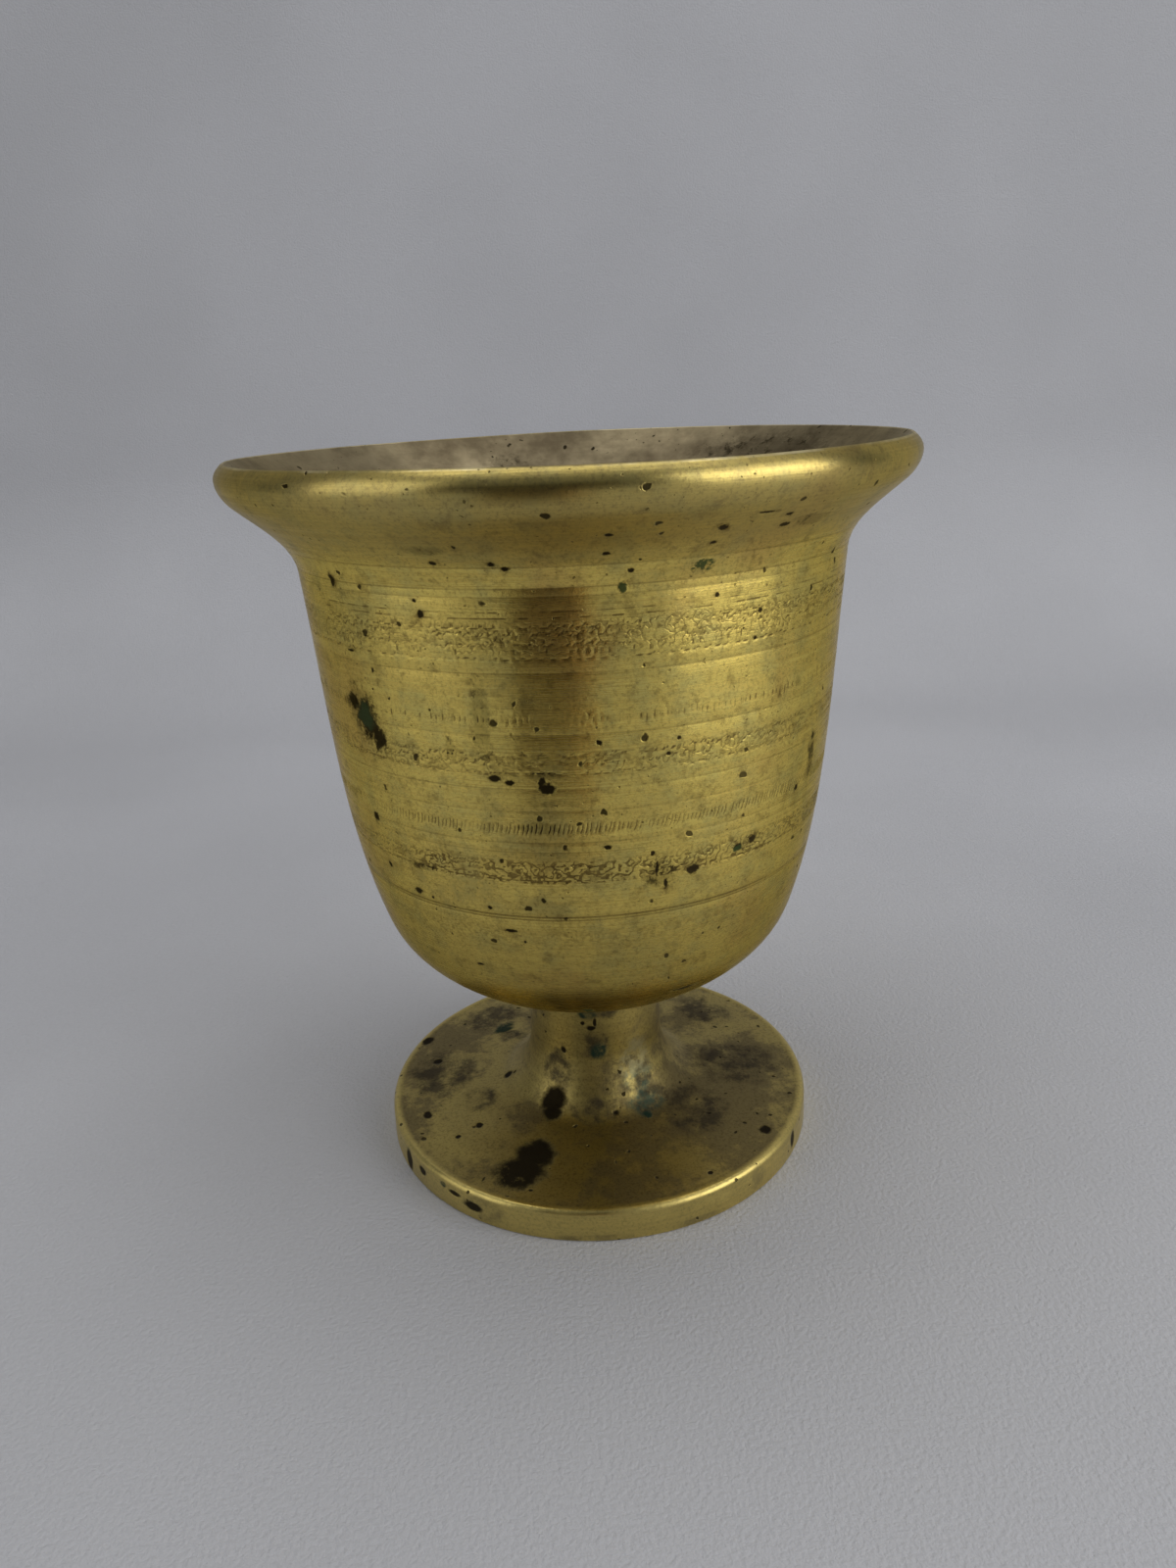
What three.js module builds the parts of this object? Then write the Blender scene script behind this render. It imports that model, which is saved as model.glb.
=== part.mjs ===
// A footed brass cup with a flared lip: a cast and turned bowl on a turned pedestal, held together
// by one rivet through the stem and sealed by a ring of solder.
// Millimetres, +Z up. The origin is the centre of the foot at table level, and every piece is turned
// about the Z axis.

import * as THREE from 'three';

// ---- Sizes of the pedestal ------------------------------------------------------------------
const FOOT_RADIUS = 35; // outside of the disc foot
const FOOT_EDGE_HEIGHT = 5.2; // from the table to the top of the upright edge
const FOOT_EDGE_ROUND = 0.9; // rounding of the upper corner of the edge
const FOOT_BASE_ROUND = 0.4; // rounding of the corner that meets the table
const FOOT_SLOPE = 4; // degrees, rise of the disc's top towards the stem
const STEM_RADIUS = 10.9;
const STEM_TOP = 26.2; // height of the stem's upper face, where the bowl sits
const STEM_FLARE_REACH = 6; // how far the stem spreads where it sweeps into the disc
const STEM_FLARE_HEIGHT = 9; // height of that sweep
const REST_WIDTH = 8; // width of the flat ring that stands on the table
const RECESS_DEPTH = 2.2; // hollow turned into the underside, inside the resting ring
const RECESS_DRAFT = 1; // how far the recess narrows over its depth
const TAIL_POCKET_RADIUS = 8; // pocket in the recess for the rivet's tail
const TAIL_POCKET_DEPTH = 7; // depth of that pocket above the table

// ---- Sizes of the bowl ----------------------------------------------------------------------
const BOWL_HEIGHT = 83.2; // from the seat on the stem to the crest of the lip
const WALL = 3; // thickness of the side
const FLOOR = 5.2; // thickness of the bottom over the stem
const SEAT_MARGIN = 1.6; // flat under the bowl outside the stem, covered by the solder
const SEAT_ANGLE = 16; // degrees from level, where the underside leaves the seat
const HAUNCH_RADIUS = 32.2; // outside radius where the rounded bottom turns into the side
const HAUNCH_RISE = 15; // height of that turn above the seat
const HAUNCH_ANGLE = 72; // degrees from level
const NECK_RADIUS = 39.2; // outside radius under the lip
const NECK_DROP = 15; // depth of the neck below the crest
const NECK_ANGLE = 85; // degrees from level
const LIP_RADIUS = 48.6; // widest point of the lip
const LIP_WIDEST_DROP = 2.1; // depth of the widest point below the crest
const LIP_UNDERSIDE_INSET = 1.8; // where the sloping underside ends, in from the widest point
const LIP_UNDERSIDE_DROP = 5.7; // and down from the crest
const LIP_UNDERSIDE_ANGLE = 42; // degrees from level
const CREST_INSET = 1.1; // outer edge of the crest, in from the widest point
const CREST_WIDTH = 0.5;
const CREST_BREAK = 0.15; // drop of the crest's inner and outer corners
const MOUTH_ANGLE = 42; // degrees from level, slope of the mouth just inside the crest
const MOUTH_DROP = 14; // depth below the crest where the mouth meets the straight inside
const FLOOR_MARGIN = 1; // flat of the inner floor outside the washer
const FLOOR_ANGLE = 8; // degrees from level, where the inner floor leaves that flat

// ---- Sizes of the joint ---------------------------------------------------------------------
const RIVET_RADIUS = 3;
const RIVET_HEAD_RADIUS = 6.2;
const RIVET_HEAD_HEIGHT = 2.4;
const RIVET_TAIL_RADIUS = 4.8;
const RIVET_TAIL_HEIGHT = 1.8;
const WASHER_RADIUS = 8.5; // sealing washer under the rivet's head, inside the bowl
const WASHER_THICKNESS = 1;
const ROVE_RADIUS = 6.6; // rove that the rivet's tail is spread over, under the stem
const ROVE_THICKNESS = 1.2;
const HOLE_CLEARANCE = 0.3; // around the rivet's shank, in every piece it passes
const FACE_GAP = 0.1; // between faces that rest on each other
const SOLDER_CLEARANCE = 0.1; // between the solder and the two pieces it fills between

// ---- Smoothness -----------------------------------------------------------------------------
const ROUND_SEGMENTS = 64; // facets around the bowl and the pedestal
const SMALL_SEGMENTS = 32; // facets around the rivet, washers and solder

// ---- Finishes -------------------------------------------------------------------------------
const POLISHED_BRASS = { color: 0xa8923f, roughness: 0.32, metalness: 1 };
const WORN_BRASS = { color: 0x97823f, roughness: 0.42, metalness: 1 };
const GREY_SOLDER = { color: 0x6f6c5c, roughness: 0.55, metalness: 1 };
const RIVET_BRASS = { color: 0x9c8546, roughness: 0.4, metalness: 1 };
const SOFT_COPPER = { color: 0x8f5a3c, roughness: 0.5, metalness: 1 };

// ---- Outlines -------------------------------------------------------------------------------
// An outline is a list of (radius, height) points that runs around the solid part of a section
// anticlockwise and is turned about the axis.

const point = (radius, height) => new THREE.Vector2(radius, height);

const direction = (degrees) => {
  const angle = THREE.MathUtils.degToRad(degrees);
  return new THREE.Vector2(Math.cos(angle), Math.sin(angle));
};

// A smooth stretch that leaves `start` and reaches `end` in the given directions.
const HANDLE_SHARE = 1 / 3;
function sweep(start, startAngle, end, endAngle, steps) {
  const reach = start.distanceTo(end) * HANDLE_SHARE;
  const curve = new THREE.CubicBezierCurve(
    start,
    start.clone().addScaledVector(direction(startAngle), reach),
    end.clone().addScaledVector(direction(endAngle), -reach),
    end,
  );
  return curve.getPoints(steps);
}

// A round stretch about `centre`, from one angle to another.
function arc(centre, radius, fromAngle, toAngle, steps) {
  const points = [];
  for (let i = 0; i <= steps; i += 1) {
    const angle = THREE.MathUtils.lerp(fromAngle, toAngle, i / steps);
    points.push(centre.clone().addScaledVector(direction(angle), radius));
  }
  return points;
}

// Joins stretches into one outline and leaves out points that repeat the one before.
function joinStretches(stretches) {
  const joined = [];
  for (const next of stretches.flat()) {
    const last = joined[joined.length - 1];
    if (!last || last.distanceTo(next) > 1e-6) {
      joined.push(next);
    }
  }
  return joined;
}

// A flat ring between two radii and two heights, such as a washer.
function ringOutline(innerRadius, outerRadius, bottom, top) {
  return [
    point(innerRadius, bottom),
    point(outerRadius, bottom),
    point(outerRadius, top),
    point(innerRadius, top),
  ];
}

// Turns an outline about the axis. An outline that stays off the axis is closed on itself.
function turn(name, outline, segments, finish) {
  const profile = outline.map((p) => p.clone());
  const onAxis = profile[0].x === 0 && profile[profile.length - 1].x === 0;
  if (!onAxis) {
    profile.push(profile[0].clone());
  }
  const geometry = new THREE.LatheGeometry(profile, segments);
  const mesh = new THREE.Mesh(geometry, new THREE.MeshStandardMaterial(finish));
  mesh.name = name;
  return mesh;
}

// ---- Heights and radii that the pieces share --------------------------------------------------
const holeRadius = RIVET_RADIUS + HOLE_CLEARANCE;
const seatHeight = STEM_TOP + FACE_GAP;
const seatRadius = STEM_RADIUS + SEAT_MARGIN;
const crestHeight = seatHeight + BOWL_HEIGHT;
const floorTop = seatHeight + FLOOR;
const pocketTop = TAIL_POCKET_DEPTH;

// ---- Pedestal: stem and disc foot in one casting ----------------------------------------------
function pedestalFoot() {
  const edgeRadius = FOOT_RADIUS - FOOT_EDGE_ROUND;
  const slope = Math.tan(THREE.MathUtils.degToRad(FOOT_SLOPE));
  const edgeCentre = point(edgeRadius, FOOT_EDGE_HEIGHT - FOOT_EDGE_ROUND);
  const edgeRound = arc(edgeCentre, FOOT_EDGE_ROUND, 0, 90 - FOOT_SLOPE, 4);
  const edgeTop = edgeRound[edgeRound.length - 1];

  // The sweep leaves the sloping top of the disc and runs into the upright stem.
  const touchRadius = STEM_RADIUS + STEM_FLARE_REACH;
  const touch = point(touchRadius, edgeTop.y + (edgeTop.x - touchRadius) * slope);
  const flareTop = point(STEM_RADIUS, touch.y + STEM_FLARE_HEIGHT);

  const restInner = FOOT_RADIUS - REST_WIDTH;
  const baseCentre = point(FOOT_RADIUS - FOOT_BASE_ROUND, FOOT_BASE_ROUND);
  const outline = joinStretches([
    [point(holeRadius, pocketTop), point(TAIL_POCKET_RADIUS, pocketTop)],
    [point(TAIL_POCKET_RADIUS, RECESS_DEPTH), point(restInner - RECESS_DRAFT, RECESS_DEPTH)],
    [point(restInner, 0)],
    arc(baseCentre, FOOT_BASE_ROUND, -90, 0, 2),
    edgeRound,
    sweep(touch, 180 - FOOT_SLOPE, flareTop, 90, 7),
    [point(STEM_RADIUS, STEM_TOP), point(holeRadius, STEM_TOP)],
  ]);
  return turn('pedestal_foot', outline, ROUND_SEGMENTS, WORN_BRASS);
}

// ---- Bowl: rounded bottom, tapering side and flared lip in one casting --------------------------
function cupBowl() {
  const haunch = point(HAUNCH_RADIUS, seatHeight + HAUNCH_RISE);
  const neck = point(NECK_RADIUS, crestHeight - NECK_DROP);
  const lipUnderside = point(LIP_RADIUS - LIP_UNDERSIDE_INSET, crestHeight - LIP_UNDERSIDE_DROP);
  const lipWidest = point(LIP_RADIUS, crestHeight - LIP_WIDEST_DROP);
  const crestRadius = LIP_RADIUS - CREST_INSET;
  const crestOuter = point(crestRadius, crestHeight - CREST_BREAK);
  const crestMiddle = point(crestRadius - CREST_WIDTH / 2, crestHeight);
  const crestInner = point(crestRadius - CREST_WIDTH, crestHeight - CREST_BREAK);

  // The inside runs one wall thickness in from the haunch and the neck.
  const innerNeck = point(NECK_RADIUS - WALL, crestHeight - MOUTH_DROP);
  const innerHaunch = haunch.clone().addScaledVector(direction(HAUNCH_ANGLE + 90), WALL);
  const floorEdge = point(WASHER_RADIUS + FLOOR_MARGIN, floorTop);

  const outside = [
    [point(holeRadius, seatHeight)],
    sweep(point(seatRadius, seatHeight), SEAT_ANGLE, haunch, HAUNCH_ANGLE, 7),
    sweep(haunch, HAUNCH_ANGLE, neck, NECK_ANGLE, 7),
    sweep(neck, NECK_ANGLE, lipUnderside, LIP_UNDERSIDE_ANGLE, 5),
    sweep(lipUnderside, LIP_UNDERSIDE_ANGLE, lipWidest, 90, 3),
    sweep(lipWidest, 90, crestOuter, 140, 3),
  ];
  const inside = [
    [crestMiddle],
    sweep(crestInner, 180 + MOUTH_ANGLE, innerNeck, 180 + NECK_ANGLE, 5),
    sweep(innerNeck, 180 + NECK_ANGLE, innerHaunch, 180 + HAUNCH_ANGLE, 6),
    sweep(innerHaunch, 180 + HAUNCH_ANGLE, floorEdge, 180 + FLOOR_ANGLE, 6),
    [point(holeRadius, floorTop)],
  ];
  const outline = joinStretches([...outside, ...inside]);
  return turn('cup_bowl', outline, ROUND_SEGMENTS, POLISHED_BRASS);
}

// ---- Solder: a hollow-faced ring in the corner under the bowl -----------------------------------
function solderFillet() {
  const inner = STEM_RADIUS + SOLDER_CLEARANCE;
  const outer = seatRadius - SOLDER_CLEARANCE;
  const top = seatHeight - SOLDER_CLEARANCE;
  const leg = outer - inner;
  const hollow = arc(point(outer, top - leg), leg, 180, 90, 4);
  const outline = joinStretches([hollow, [point(inner, top)]]);
  return turn('solder_fillet', outline, SMALL_SEGMENTS, GREY_SOLDER);
}

// ---- Rivet: domed head inside the bowl, shank through the stem, spread tail underneath ----------
const headBottom = floorTop + FACE_GAP + WASHER_THICKNESS + FACE_GAP;
const tailTop = pocketTop - FACE_GAP - ROVE_THICKNESS - FACE_GAP;

// A dome of the given rim radius and height, from its rim to its crown on the axis.
function domeStretch(rimRadius, height, steps) {
  const points = [];
  for (let i = 0; i <= steps; i += 1) {
    const angle = (Math.PI / 2) * (i / steps);
    points.push(point(i === steps ? 0 : rimRadius * Math.cos(angle), height * Math.sin(angle)));
  }
  return points;
}

function tieRivet() {
  const head = domeStretch(RIVET_HEAD_RADIUS, RIVET_HEAD_HEIGHT, 5);
  const tail = domeStretch(RIVET_TAIL_RADIUS, RIVET_TAIL_HEIGHT, 4);
  const outline = joinStretches([
    tail.map((p) => point(p.x, tailTop - p.y)).reverse(),
    [point(RIVET_RADIUS, tailTop), point(RIVET_RADIUS, headBottom)],
    head.map((p) => point(p.x, headBottom + p.y)),
  ]);
  return turn('tie_rivet', outline, SMALL_SEGMENTS, RIVET_BRASS);
}

function sealingWasher() {
  const bottom = floorTop + FACE_GAP;
  const outline = ringOutline(holeRadius, WASHER_RADIUS, bottom, bottom + WASHER_THICKNESS);
  return turn('sealing_washer', outline, SMALL_SEGMENTS, SOFT_COPPER);
}

function tailRove() {
  const top = pocketTop - FACE_GAP;
  const outline = ringOutline(holeRadius, ROVE_RADIUS, top - ROVE_THICKNESS, top);
  return turn('tail_rove', outline, SMALL_SEGMENTS, RIVET_BRASS);
}

// ---- Assembly ---------------------------------------------------------------------------------
// The pieces are turned about +Y, and the group stands them up along +Z.
const cup = new THREE.Group();
cup.rotation.x = Math.PI / 2;
cup.add(pedestalFoot(), cupBowl(), solderFillet());
cup.add(tieRivet(), sealingWasher(), tailRove());

export default cup;
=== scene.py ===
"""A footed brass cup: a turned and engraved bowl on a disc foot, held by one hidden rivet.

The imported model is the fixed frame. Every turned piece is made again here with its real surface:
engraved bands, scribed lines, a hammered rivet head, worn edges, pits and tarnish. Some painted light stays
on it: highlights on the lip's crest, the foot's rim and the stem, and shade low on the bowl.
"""

import logging
import math
from dataclasses import dataclass, field
from enum import Enum
from typing import Callable

import bpy
import numpy as np
from mathutils import Matrix, Vector


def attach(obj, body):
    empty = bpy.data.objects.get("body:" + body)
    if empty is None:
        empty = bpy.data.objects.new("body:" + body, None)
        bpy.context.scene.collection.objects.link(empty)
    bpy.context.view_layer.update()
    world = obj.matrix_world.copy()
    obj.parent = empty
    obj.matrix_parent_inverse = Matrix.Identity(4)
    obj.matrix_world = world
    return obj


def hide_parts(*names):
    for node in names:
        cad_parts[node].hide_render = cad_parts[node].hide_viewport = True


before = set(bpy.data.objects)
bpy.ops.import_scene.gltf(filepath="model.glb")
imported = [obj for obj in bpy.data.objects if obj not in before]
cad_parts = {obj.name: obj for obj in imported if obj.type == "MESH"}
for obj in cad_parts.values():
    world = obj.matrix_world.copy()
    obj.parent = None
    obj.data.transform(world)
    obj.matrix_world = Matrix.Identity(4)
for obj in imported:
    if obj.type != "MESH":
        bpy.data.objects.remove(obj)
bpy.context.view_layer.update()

LOG = logging.getLogger("footed_cup")

MM = 0.001
SAME_PLACE = 1e-4  # millimetres between rings that count as one
ON_AXIS = 1e-6  # radius in millimetres under which a ring is a single point
ROOT_BODY = "root"

Point = tuple[float, float]
Colour = tuple[float, float, float]
Socket = bpy.types.NodeSocket
Value = Socket | float | tuple[float, ...]
# How a turned mesh is made uneven: (azimuth, radius, height, side) to new radii and heights.
Shape = Callable[[np.ndarray, np.ndarray, np.ndarray, float], tuple[np.ndarray, np.ndarray]]


# ---- Outlines -----------------------------------------------------------------------------------


def direction(degrees: float) -> np.ndarray:
    """Returns the unit vector at an angle in the (radius, height) plane."""
    angle = math.radians(degrees)
    return np.array([math.cos(angle), math.sin(angle)])


def sweep(start: Point, start_angle: float, end: Point, end_angle: float, steps: int) -> np.ndarray:
    """Returns a smooth stretch between two points.

    Args:
        start: First point (radius, height) in millimetres.
        start_angle: Direction in degrees in which the stretch leaves the first point.
        end: Last point in millimetres.
        end_angle: Direction in degrees in which the stretch reaches the last point.
        steps: Number of steps along the stretch.

    Returns:
        The points of the stretch, one row each.
    """
    first = np.array(start, float)
    last = np.array(end, float)
    reach = float(np.hypot(*(last - first))) / 3.0
    leave = first + reach * direction(start_angle)
    arrive = last - reach * direction(end_angle)
    t = np.linspace(0.0, 1.0, steps + 1)[:, None]
    return (
        (1 - t) ** 3 * first
        + 3 * (1 - t) ** 2 * t * leave
        + 3 * (1 - t) * t**2 * arrive
        + t**3 * last
    )


def arc(centre: Point, radius: float, start_angle: float, end_angle: float, steps: int) -> np.ndarray:
    """Returns a round stretch about a centre, from one angle to another in degrees."""
    angles = np.linspace(start_angle, end_angle, steps + 1)
    return np.array([np.array(centre) + radius * direction(a) for a in angles])


def straight(start: Point, end: Point, steps: int) -> np.ndarray:
    """Returns a straight stretch between two points."""
    t = np.linspace(0.0, 1.0, steps + 1)[:, None]
    return (1 - t) * np.array(start, float) + t * np.array(end, float)


def join(stretches: list[np.ndarray]) -> np.ndarray:
    """Joins stretches into one run and leaves out points that repeat the one before.

    Args:
        stretches: The stretches, in order.

    Returns:
        The points of the run, one row each.
    """
    rows = np.vstack(stretches)
    step = np.hypot(*np.diff(rows, axis=0).T)
    return rows[np.concatenate([[True], step > ON_AXIS])]


def resample(run: np.ndarray, spacing: float) -> np.ndarray:
    """Spaces a run's points evenly along the same path.

    Args:
        run: The run to follow.
        spacing: Distance between points in millimetres.

    Returns:
        The new points, one row each.
    """
    travelled = np.concatenate([[0.0], np.cumsum(np.hypot(*np.diff(run, axis=0).T))])
    count = max(1, round(travelled[-1] / spacing))
    stations = np.linspace(0.0, travelled[-1], count + 1)
    return np.column_stack(
        [np.interp(stations, travelled, run[:, 0]), np.interp(stations, travelled, run[:, 1])]
    )


# ---- Turned meshes ------------------------------------------------------------------------------


@dataclass
class Ring:
    """One ring of vertices: its radius and height in millimetres, and its number of columns."""

    radius: float
    height: float
    columns: int
    side: float = 1.0


class TurnedMesh:
    """Collects rings along a closed outline and skins them. Azimuth 0 faces -Y and runs to +X."""

    def __init__(self, name: str) -> None:
        """Starts an empty mesh.

        Args:
            name: The name of the piece that it becomes.
        """
        self.name = name
        self.rings: list[Ring] = []
        self.on_axis = False

    def add(self, run: np.ndarray, columns: int, side: float = 1.0) -> None:
        """Adds one ring for each point of a run, unless it repeats the last ring's place.

        Args:
            run: Points (radius, height) in millimetres.
            columns: Number of vertices round each ring.
            side: 1 on the outer side, 0 on the inner side.
        """
        for radius, height in run:
            last = self.rings[-1] if self.rings else None
            if last and math.hypot(last.radius - radius, last.height - height) < SAME_PLACE:
                continue
            self.rings.append(Ring(float(radius), float(height), columns, side))

    def build(self, shape: Shape) -> bpy.types.Object:
        """Skins the rings into a closed mesh object.

        Args:
            shape: Makes the rings uneven, in millimetres.

        Returns:
            The new object, linked to the scene.
        """
        points: list[np.ndarray] = []
        sides: list[np.ndarray] = []
        starts: list[int] = []
        total = 0
        for ring in self.rings:
            starts.append(total)
            count = self._count(ring)
            azimuth = np.arange(count) * (2 * math.pi / count)
            radius = np.full(count, ring.radius)
            height = np.full(count, ring.height)
            radius, height = shape(azimuth, radius, height, ring.side)
            points.append(
                np.column_stack([radius * np.sin(azimuth), -radius * np.cos(azimuth), height])
            )
            sides.append(np.full(count, ring.side))
            total += count
        faces: list[tuple[int, ...]] = []
        pairs = list(zip(range(len(self.rings) - 1), range(1, len(self.rings))))
        if not self.on_axis:
            pairs.append((len(self.rings) - 1, 0))
        for low, high in pairs:
            faces.extend(self._skin(low, high, starts))
        mesh = bpy.data.meshes.new(self.name)
        mesh.from_pydata((np.vstack(points) * MM).tolist(), [], faces)
        mesh.attributes.new("outer_side", "FLOAT", "POINT").data.foreach_set(
            "value", np.concatenate(sides)
        )
        mesh.shade_smooth()
        mesh.update()
        piece = bpy.data.objects.new(self.name, mesh)
        bpy.context.scene.collection.objects.link(piece)
        return piece

    @staticmethod
    def _count(ring: Ring) -> int:
        """Returns how many vertices a ring has: one where it lies on the axis."""
        return ring.columns if ring.radius > ON_AXIS else 1

    def _skin(self, low: int, high: int, starts: list[int]) -> list[tuple[int, ...]]:
        """Makes the faces between two rings, whose column counts divide each other.

        Args:
            low: Number of the first ring.
            high: Number of the second ring.
            starts: Number of each ring's first vertex.

        Returns:
            The faces, as vertex numbers.
        """
        below, above = self._count(self.rings[low]), self._count(self.rings[high])
        a, b = starts[low], starts[high]
        faces: list[tuple[int, ...]] = []
        if below == above:
            for i in range(below):
                j = (i + 1) % below
                faces.append((a + i, a + j, b + j, b + i))
        elif above == 1:
            faces = [(a + i, a + (i + 1) % below, b) for i in range(below)]
        elif below == 1:
            faces = [(a, b + (i + 1) % above, b + i) for i in range(above)]
        elif above > below:
            share = above // below
            for i in range(below):
                j = (i + 1) % below
                half = share // 2
                for k in range(share):
                    corner = a + i if k < half else a + j
                    faces.append((corner, b + (i * share + k + 1) % above, b + i * share + k))
                faces.append((a + i, a + j, b + i * share + half))
        else:
            share = below // above
            for i in range(above):
                j = (i + 1) % above
                half = share // 2
                for k in range(share):
                    corner = b + i if k < half else b + j
                    faces.append((a + i * share + k, a + (i * share + k + 1) % below, corner))
                faces.append((a + i * share + half, b + j, b + i))
        return faces


# ---- Node building ------------------------------------------------------------------------------


class Net:
    """A short way to add nodes to a tree and to wire them."""

    def __init__(self, tree: bpy.types.NodeTree) -> None:
        """Keeps the tree that the nodes go into."""
        self.tree = tree

    def add(
        self, kind: str, inputs: dict[str | int, Value] | None = None, **settings: object
    ) -> bpy.types.Node:
        """Adds a node.

        Args:
            kind: The node's type name.
            inputs: Values or output sockets, by the input's name or number.
            settings: Properties to set on the node.

        Returns:
            The new node.
        """
        node = self.tree.nodes.new(kind)
        for key, value in settings.items():
            setattr(node, key, value)
        for key, value in (inputs or {}).items():
            socket = node.inputs[key]
            if isinstance(value, Socket):
                self.tree.links.new(value, socket)
            else:
                socket.default_value = value
        return node

    def math(self, operation: str, first: Value, second: Value = 0.0, clamp: bool = False) -> Socket:
        """Adds a Math node and returns its output."""
        kind = "ShaderNodeMath"
        return self.add(kind, {0: first, 1: second}, operation=operation, use_clamp=clamp).outputs[0]

    def times(self, first: Value, second: Value, clamp: bool = False) -> Socket:
        """Returns one value times another."""
        return self.math("MULTIPLY", first, second, clamp)

    def plus(self, first: Value, second: Value, clamp: bool = False) -> Socket:
        """Returns one value plus another."""
        return self.math("ADD", first, second, clamp)

    def minus(self, first: Value, second: Value, clamp: bool = False) -> Socket:
        """Returns one value less another."""
        return self.math("SUBTRACT", first, second, clamp)

    def over(self, first: Value, second: Value) -> Socket:
        """Returns one value divided by another."""
        return self.math("DIVIDE", first, second)

    def most(self, first: Value, second: Value) -> Socket:
        """Returns the larger of two values."""
        return self.math("MAXIMUM", first, second)

    def vector(self, operation: str, first: Value, second: Value = (0.0, 0.0, 0.0)) -> Socket:
        """Adds a Vector Math node and returns its vector output."""
        kind = "ShaderNodeVectorMath"
        return self.add(kind, {0: first, 1: second}, operation=operation).outputs[0]

    def length(self, vector: Value) -> Socket:
        """Returns the length of a vector."""
        node = self.add("ShaderNodeVectorMath", {0: vector}, operation="LENGTH")
        return node.outputs["Value"]

    def ramp(
        self, value: Value, low: Value, high: Value, to_low: Value = 0.0, to_high: Value = 1.0
    ) -> Socket:
        """Maps a value from one range to another with smooth ends.

        Args:
            value: The value to map.
            low: Start of its range.
            high: End of its range.
            to_low: Result at the start.
            to_high: Result at the end.

        Returns:
            The mapped value.
        """
        return self.add(
            "ShaderNodeMapRange",
            {"Value": value, 1: low, 2: high, 3: to_low, 4: to_high},
            interpolation_type="SMOOTHSTEP",
        ).outputs[0]

    def blend(self, factor: Value, first: Value, second: Value) -> Socket:
        """Mixes two colours.

        Args:
            factor: Share of the second colour.
            first: First colour.
            second: Second colour.

        Returns:
            The mixed colour.
        """
        node = self.add("ShaderNodeMix", data_type="RGBA", clamp_factor=True)
        for socket, value in ((0, factor), (6, first), (7, second)):
            if isinstance(value, Socket):
                self.tree.links.new(value, node.inputs[socket])
            elif socket == 0:
                node.inputs[0].default_value = value
            else:
                node.inputs[socket].default_value = (*value, 1.0)
        return node.outputs[2]

    def noise(self, vector: Value, scale: Value, detail: float = 2.0, rough: float = 0.5) -> bpy.types.Node:
        """Adds a noise texture.

        Args:
            vector: Place to read the noise at.
            scale: Fineness in cycles a metre.
            detail: Number of finer layers.
            rough: Strength of the finer layers.

        Returns:
            The node; its first output is the value and its second the colour.
        """
        return self.add(
            "ShaderNodeTexNoise",
            {"Vector": vector, "Scale": scale, "Detail": detail, "Roughness": rough},
        )


class Group:
    """A node group with named inputs and outputs."""

    def __init__(self, name: str, kind: str = "ShaderNodeTree") -> None:
        """Makes an empty group.

        Args:
            name: The group's name.
            kind: The type of its tree.
        """
        self.tree = bpy.data.node_groups.new(name, kind)
        self.net = Net(self.tree)
        self.source = self.tree.nodes.new("NodeGroupInput")
        self.sink = self.tree.nodes.new("NodeGroupOutput")

    def take(self, name: str, kind: str, value: Value | None = None) -> None:
        """Adds a named input.

        Args:
            name: The input's name.
            kind: The type of its socket.
            value: Its usual value.
        """
        socket = self.tree.interface.new_socket(name, in_out="INPUT", socket_type=kind)
        if value is not None:
            socket.default_value = value

    def give(self, name: str, kind: str, value: Socket) -> None:
        """Adds a named output and wires it."""
        self.tree.interface.new_socket(name, in_out="OUTPUT", socket_type=kind)
        self.tree.links.new(value, self.sink.inputs[name])

    def get(self, name: str) -> Socket:
        """Returns the socket that carries a named input."""
        return self.source.outputs[name]


QUARTER_TURN = 0.25
FLOAT = "NodeSocketFloat"
VECTOR = "NodeSocketVector"


# ---- Engraving ----------------------------------------------------------------------------------


@dataclass(frozen=True)
class MarkRow:
    """A row of cut marks round the bowl. Lengths are in millimetres and angles in degrees."""

    name: str
    height: float
    count: int
    length: float
    slant: float
    bend: float = 0.0
    waves: float = 1.0
    tilt: float = 6.0
    worn: float = 0.1
    depth: float = 0.07
    width: float = 0.22
    wander: float = 0.08
    seed: int = 1


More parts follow.
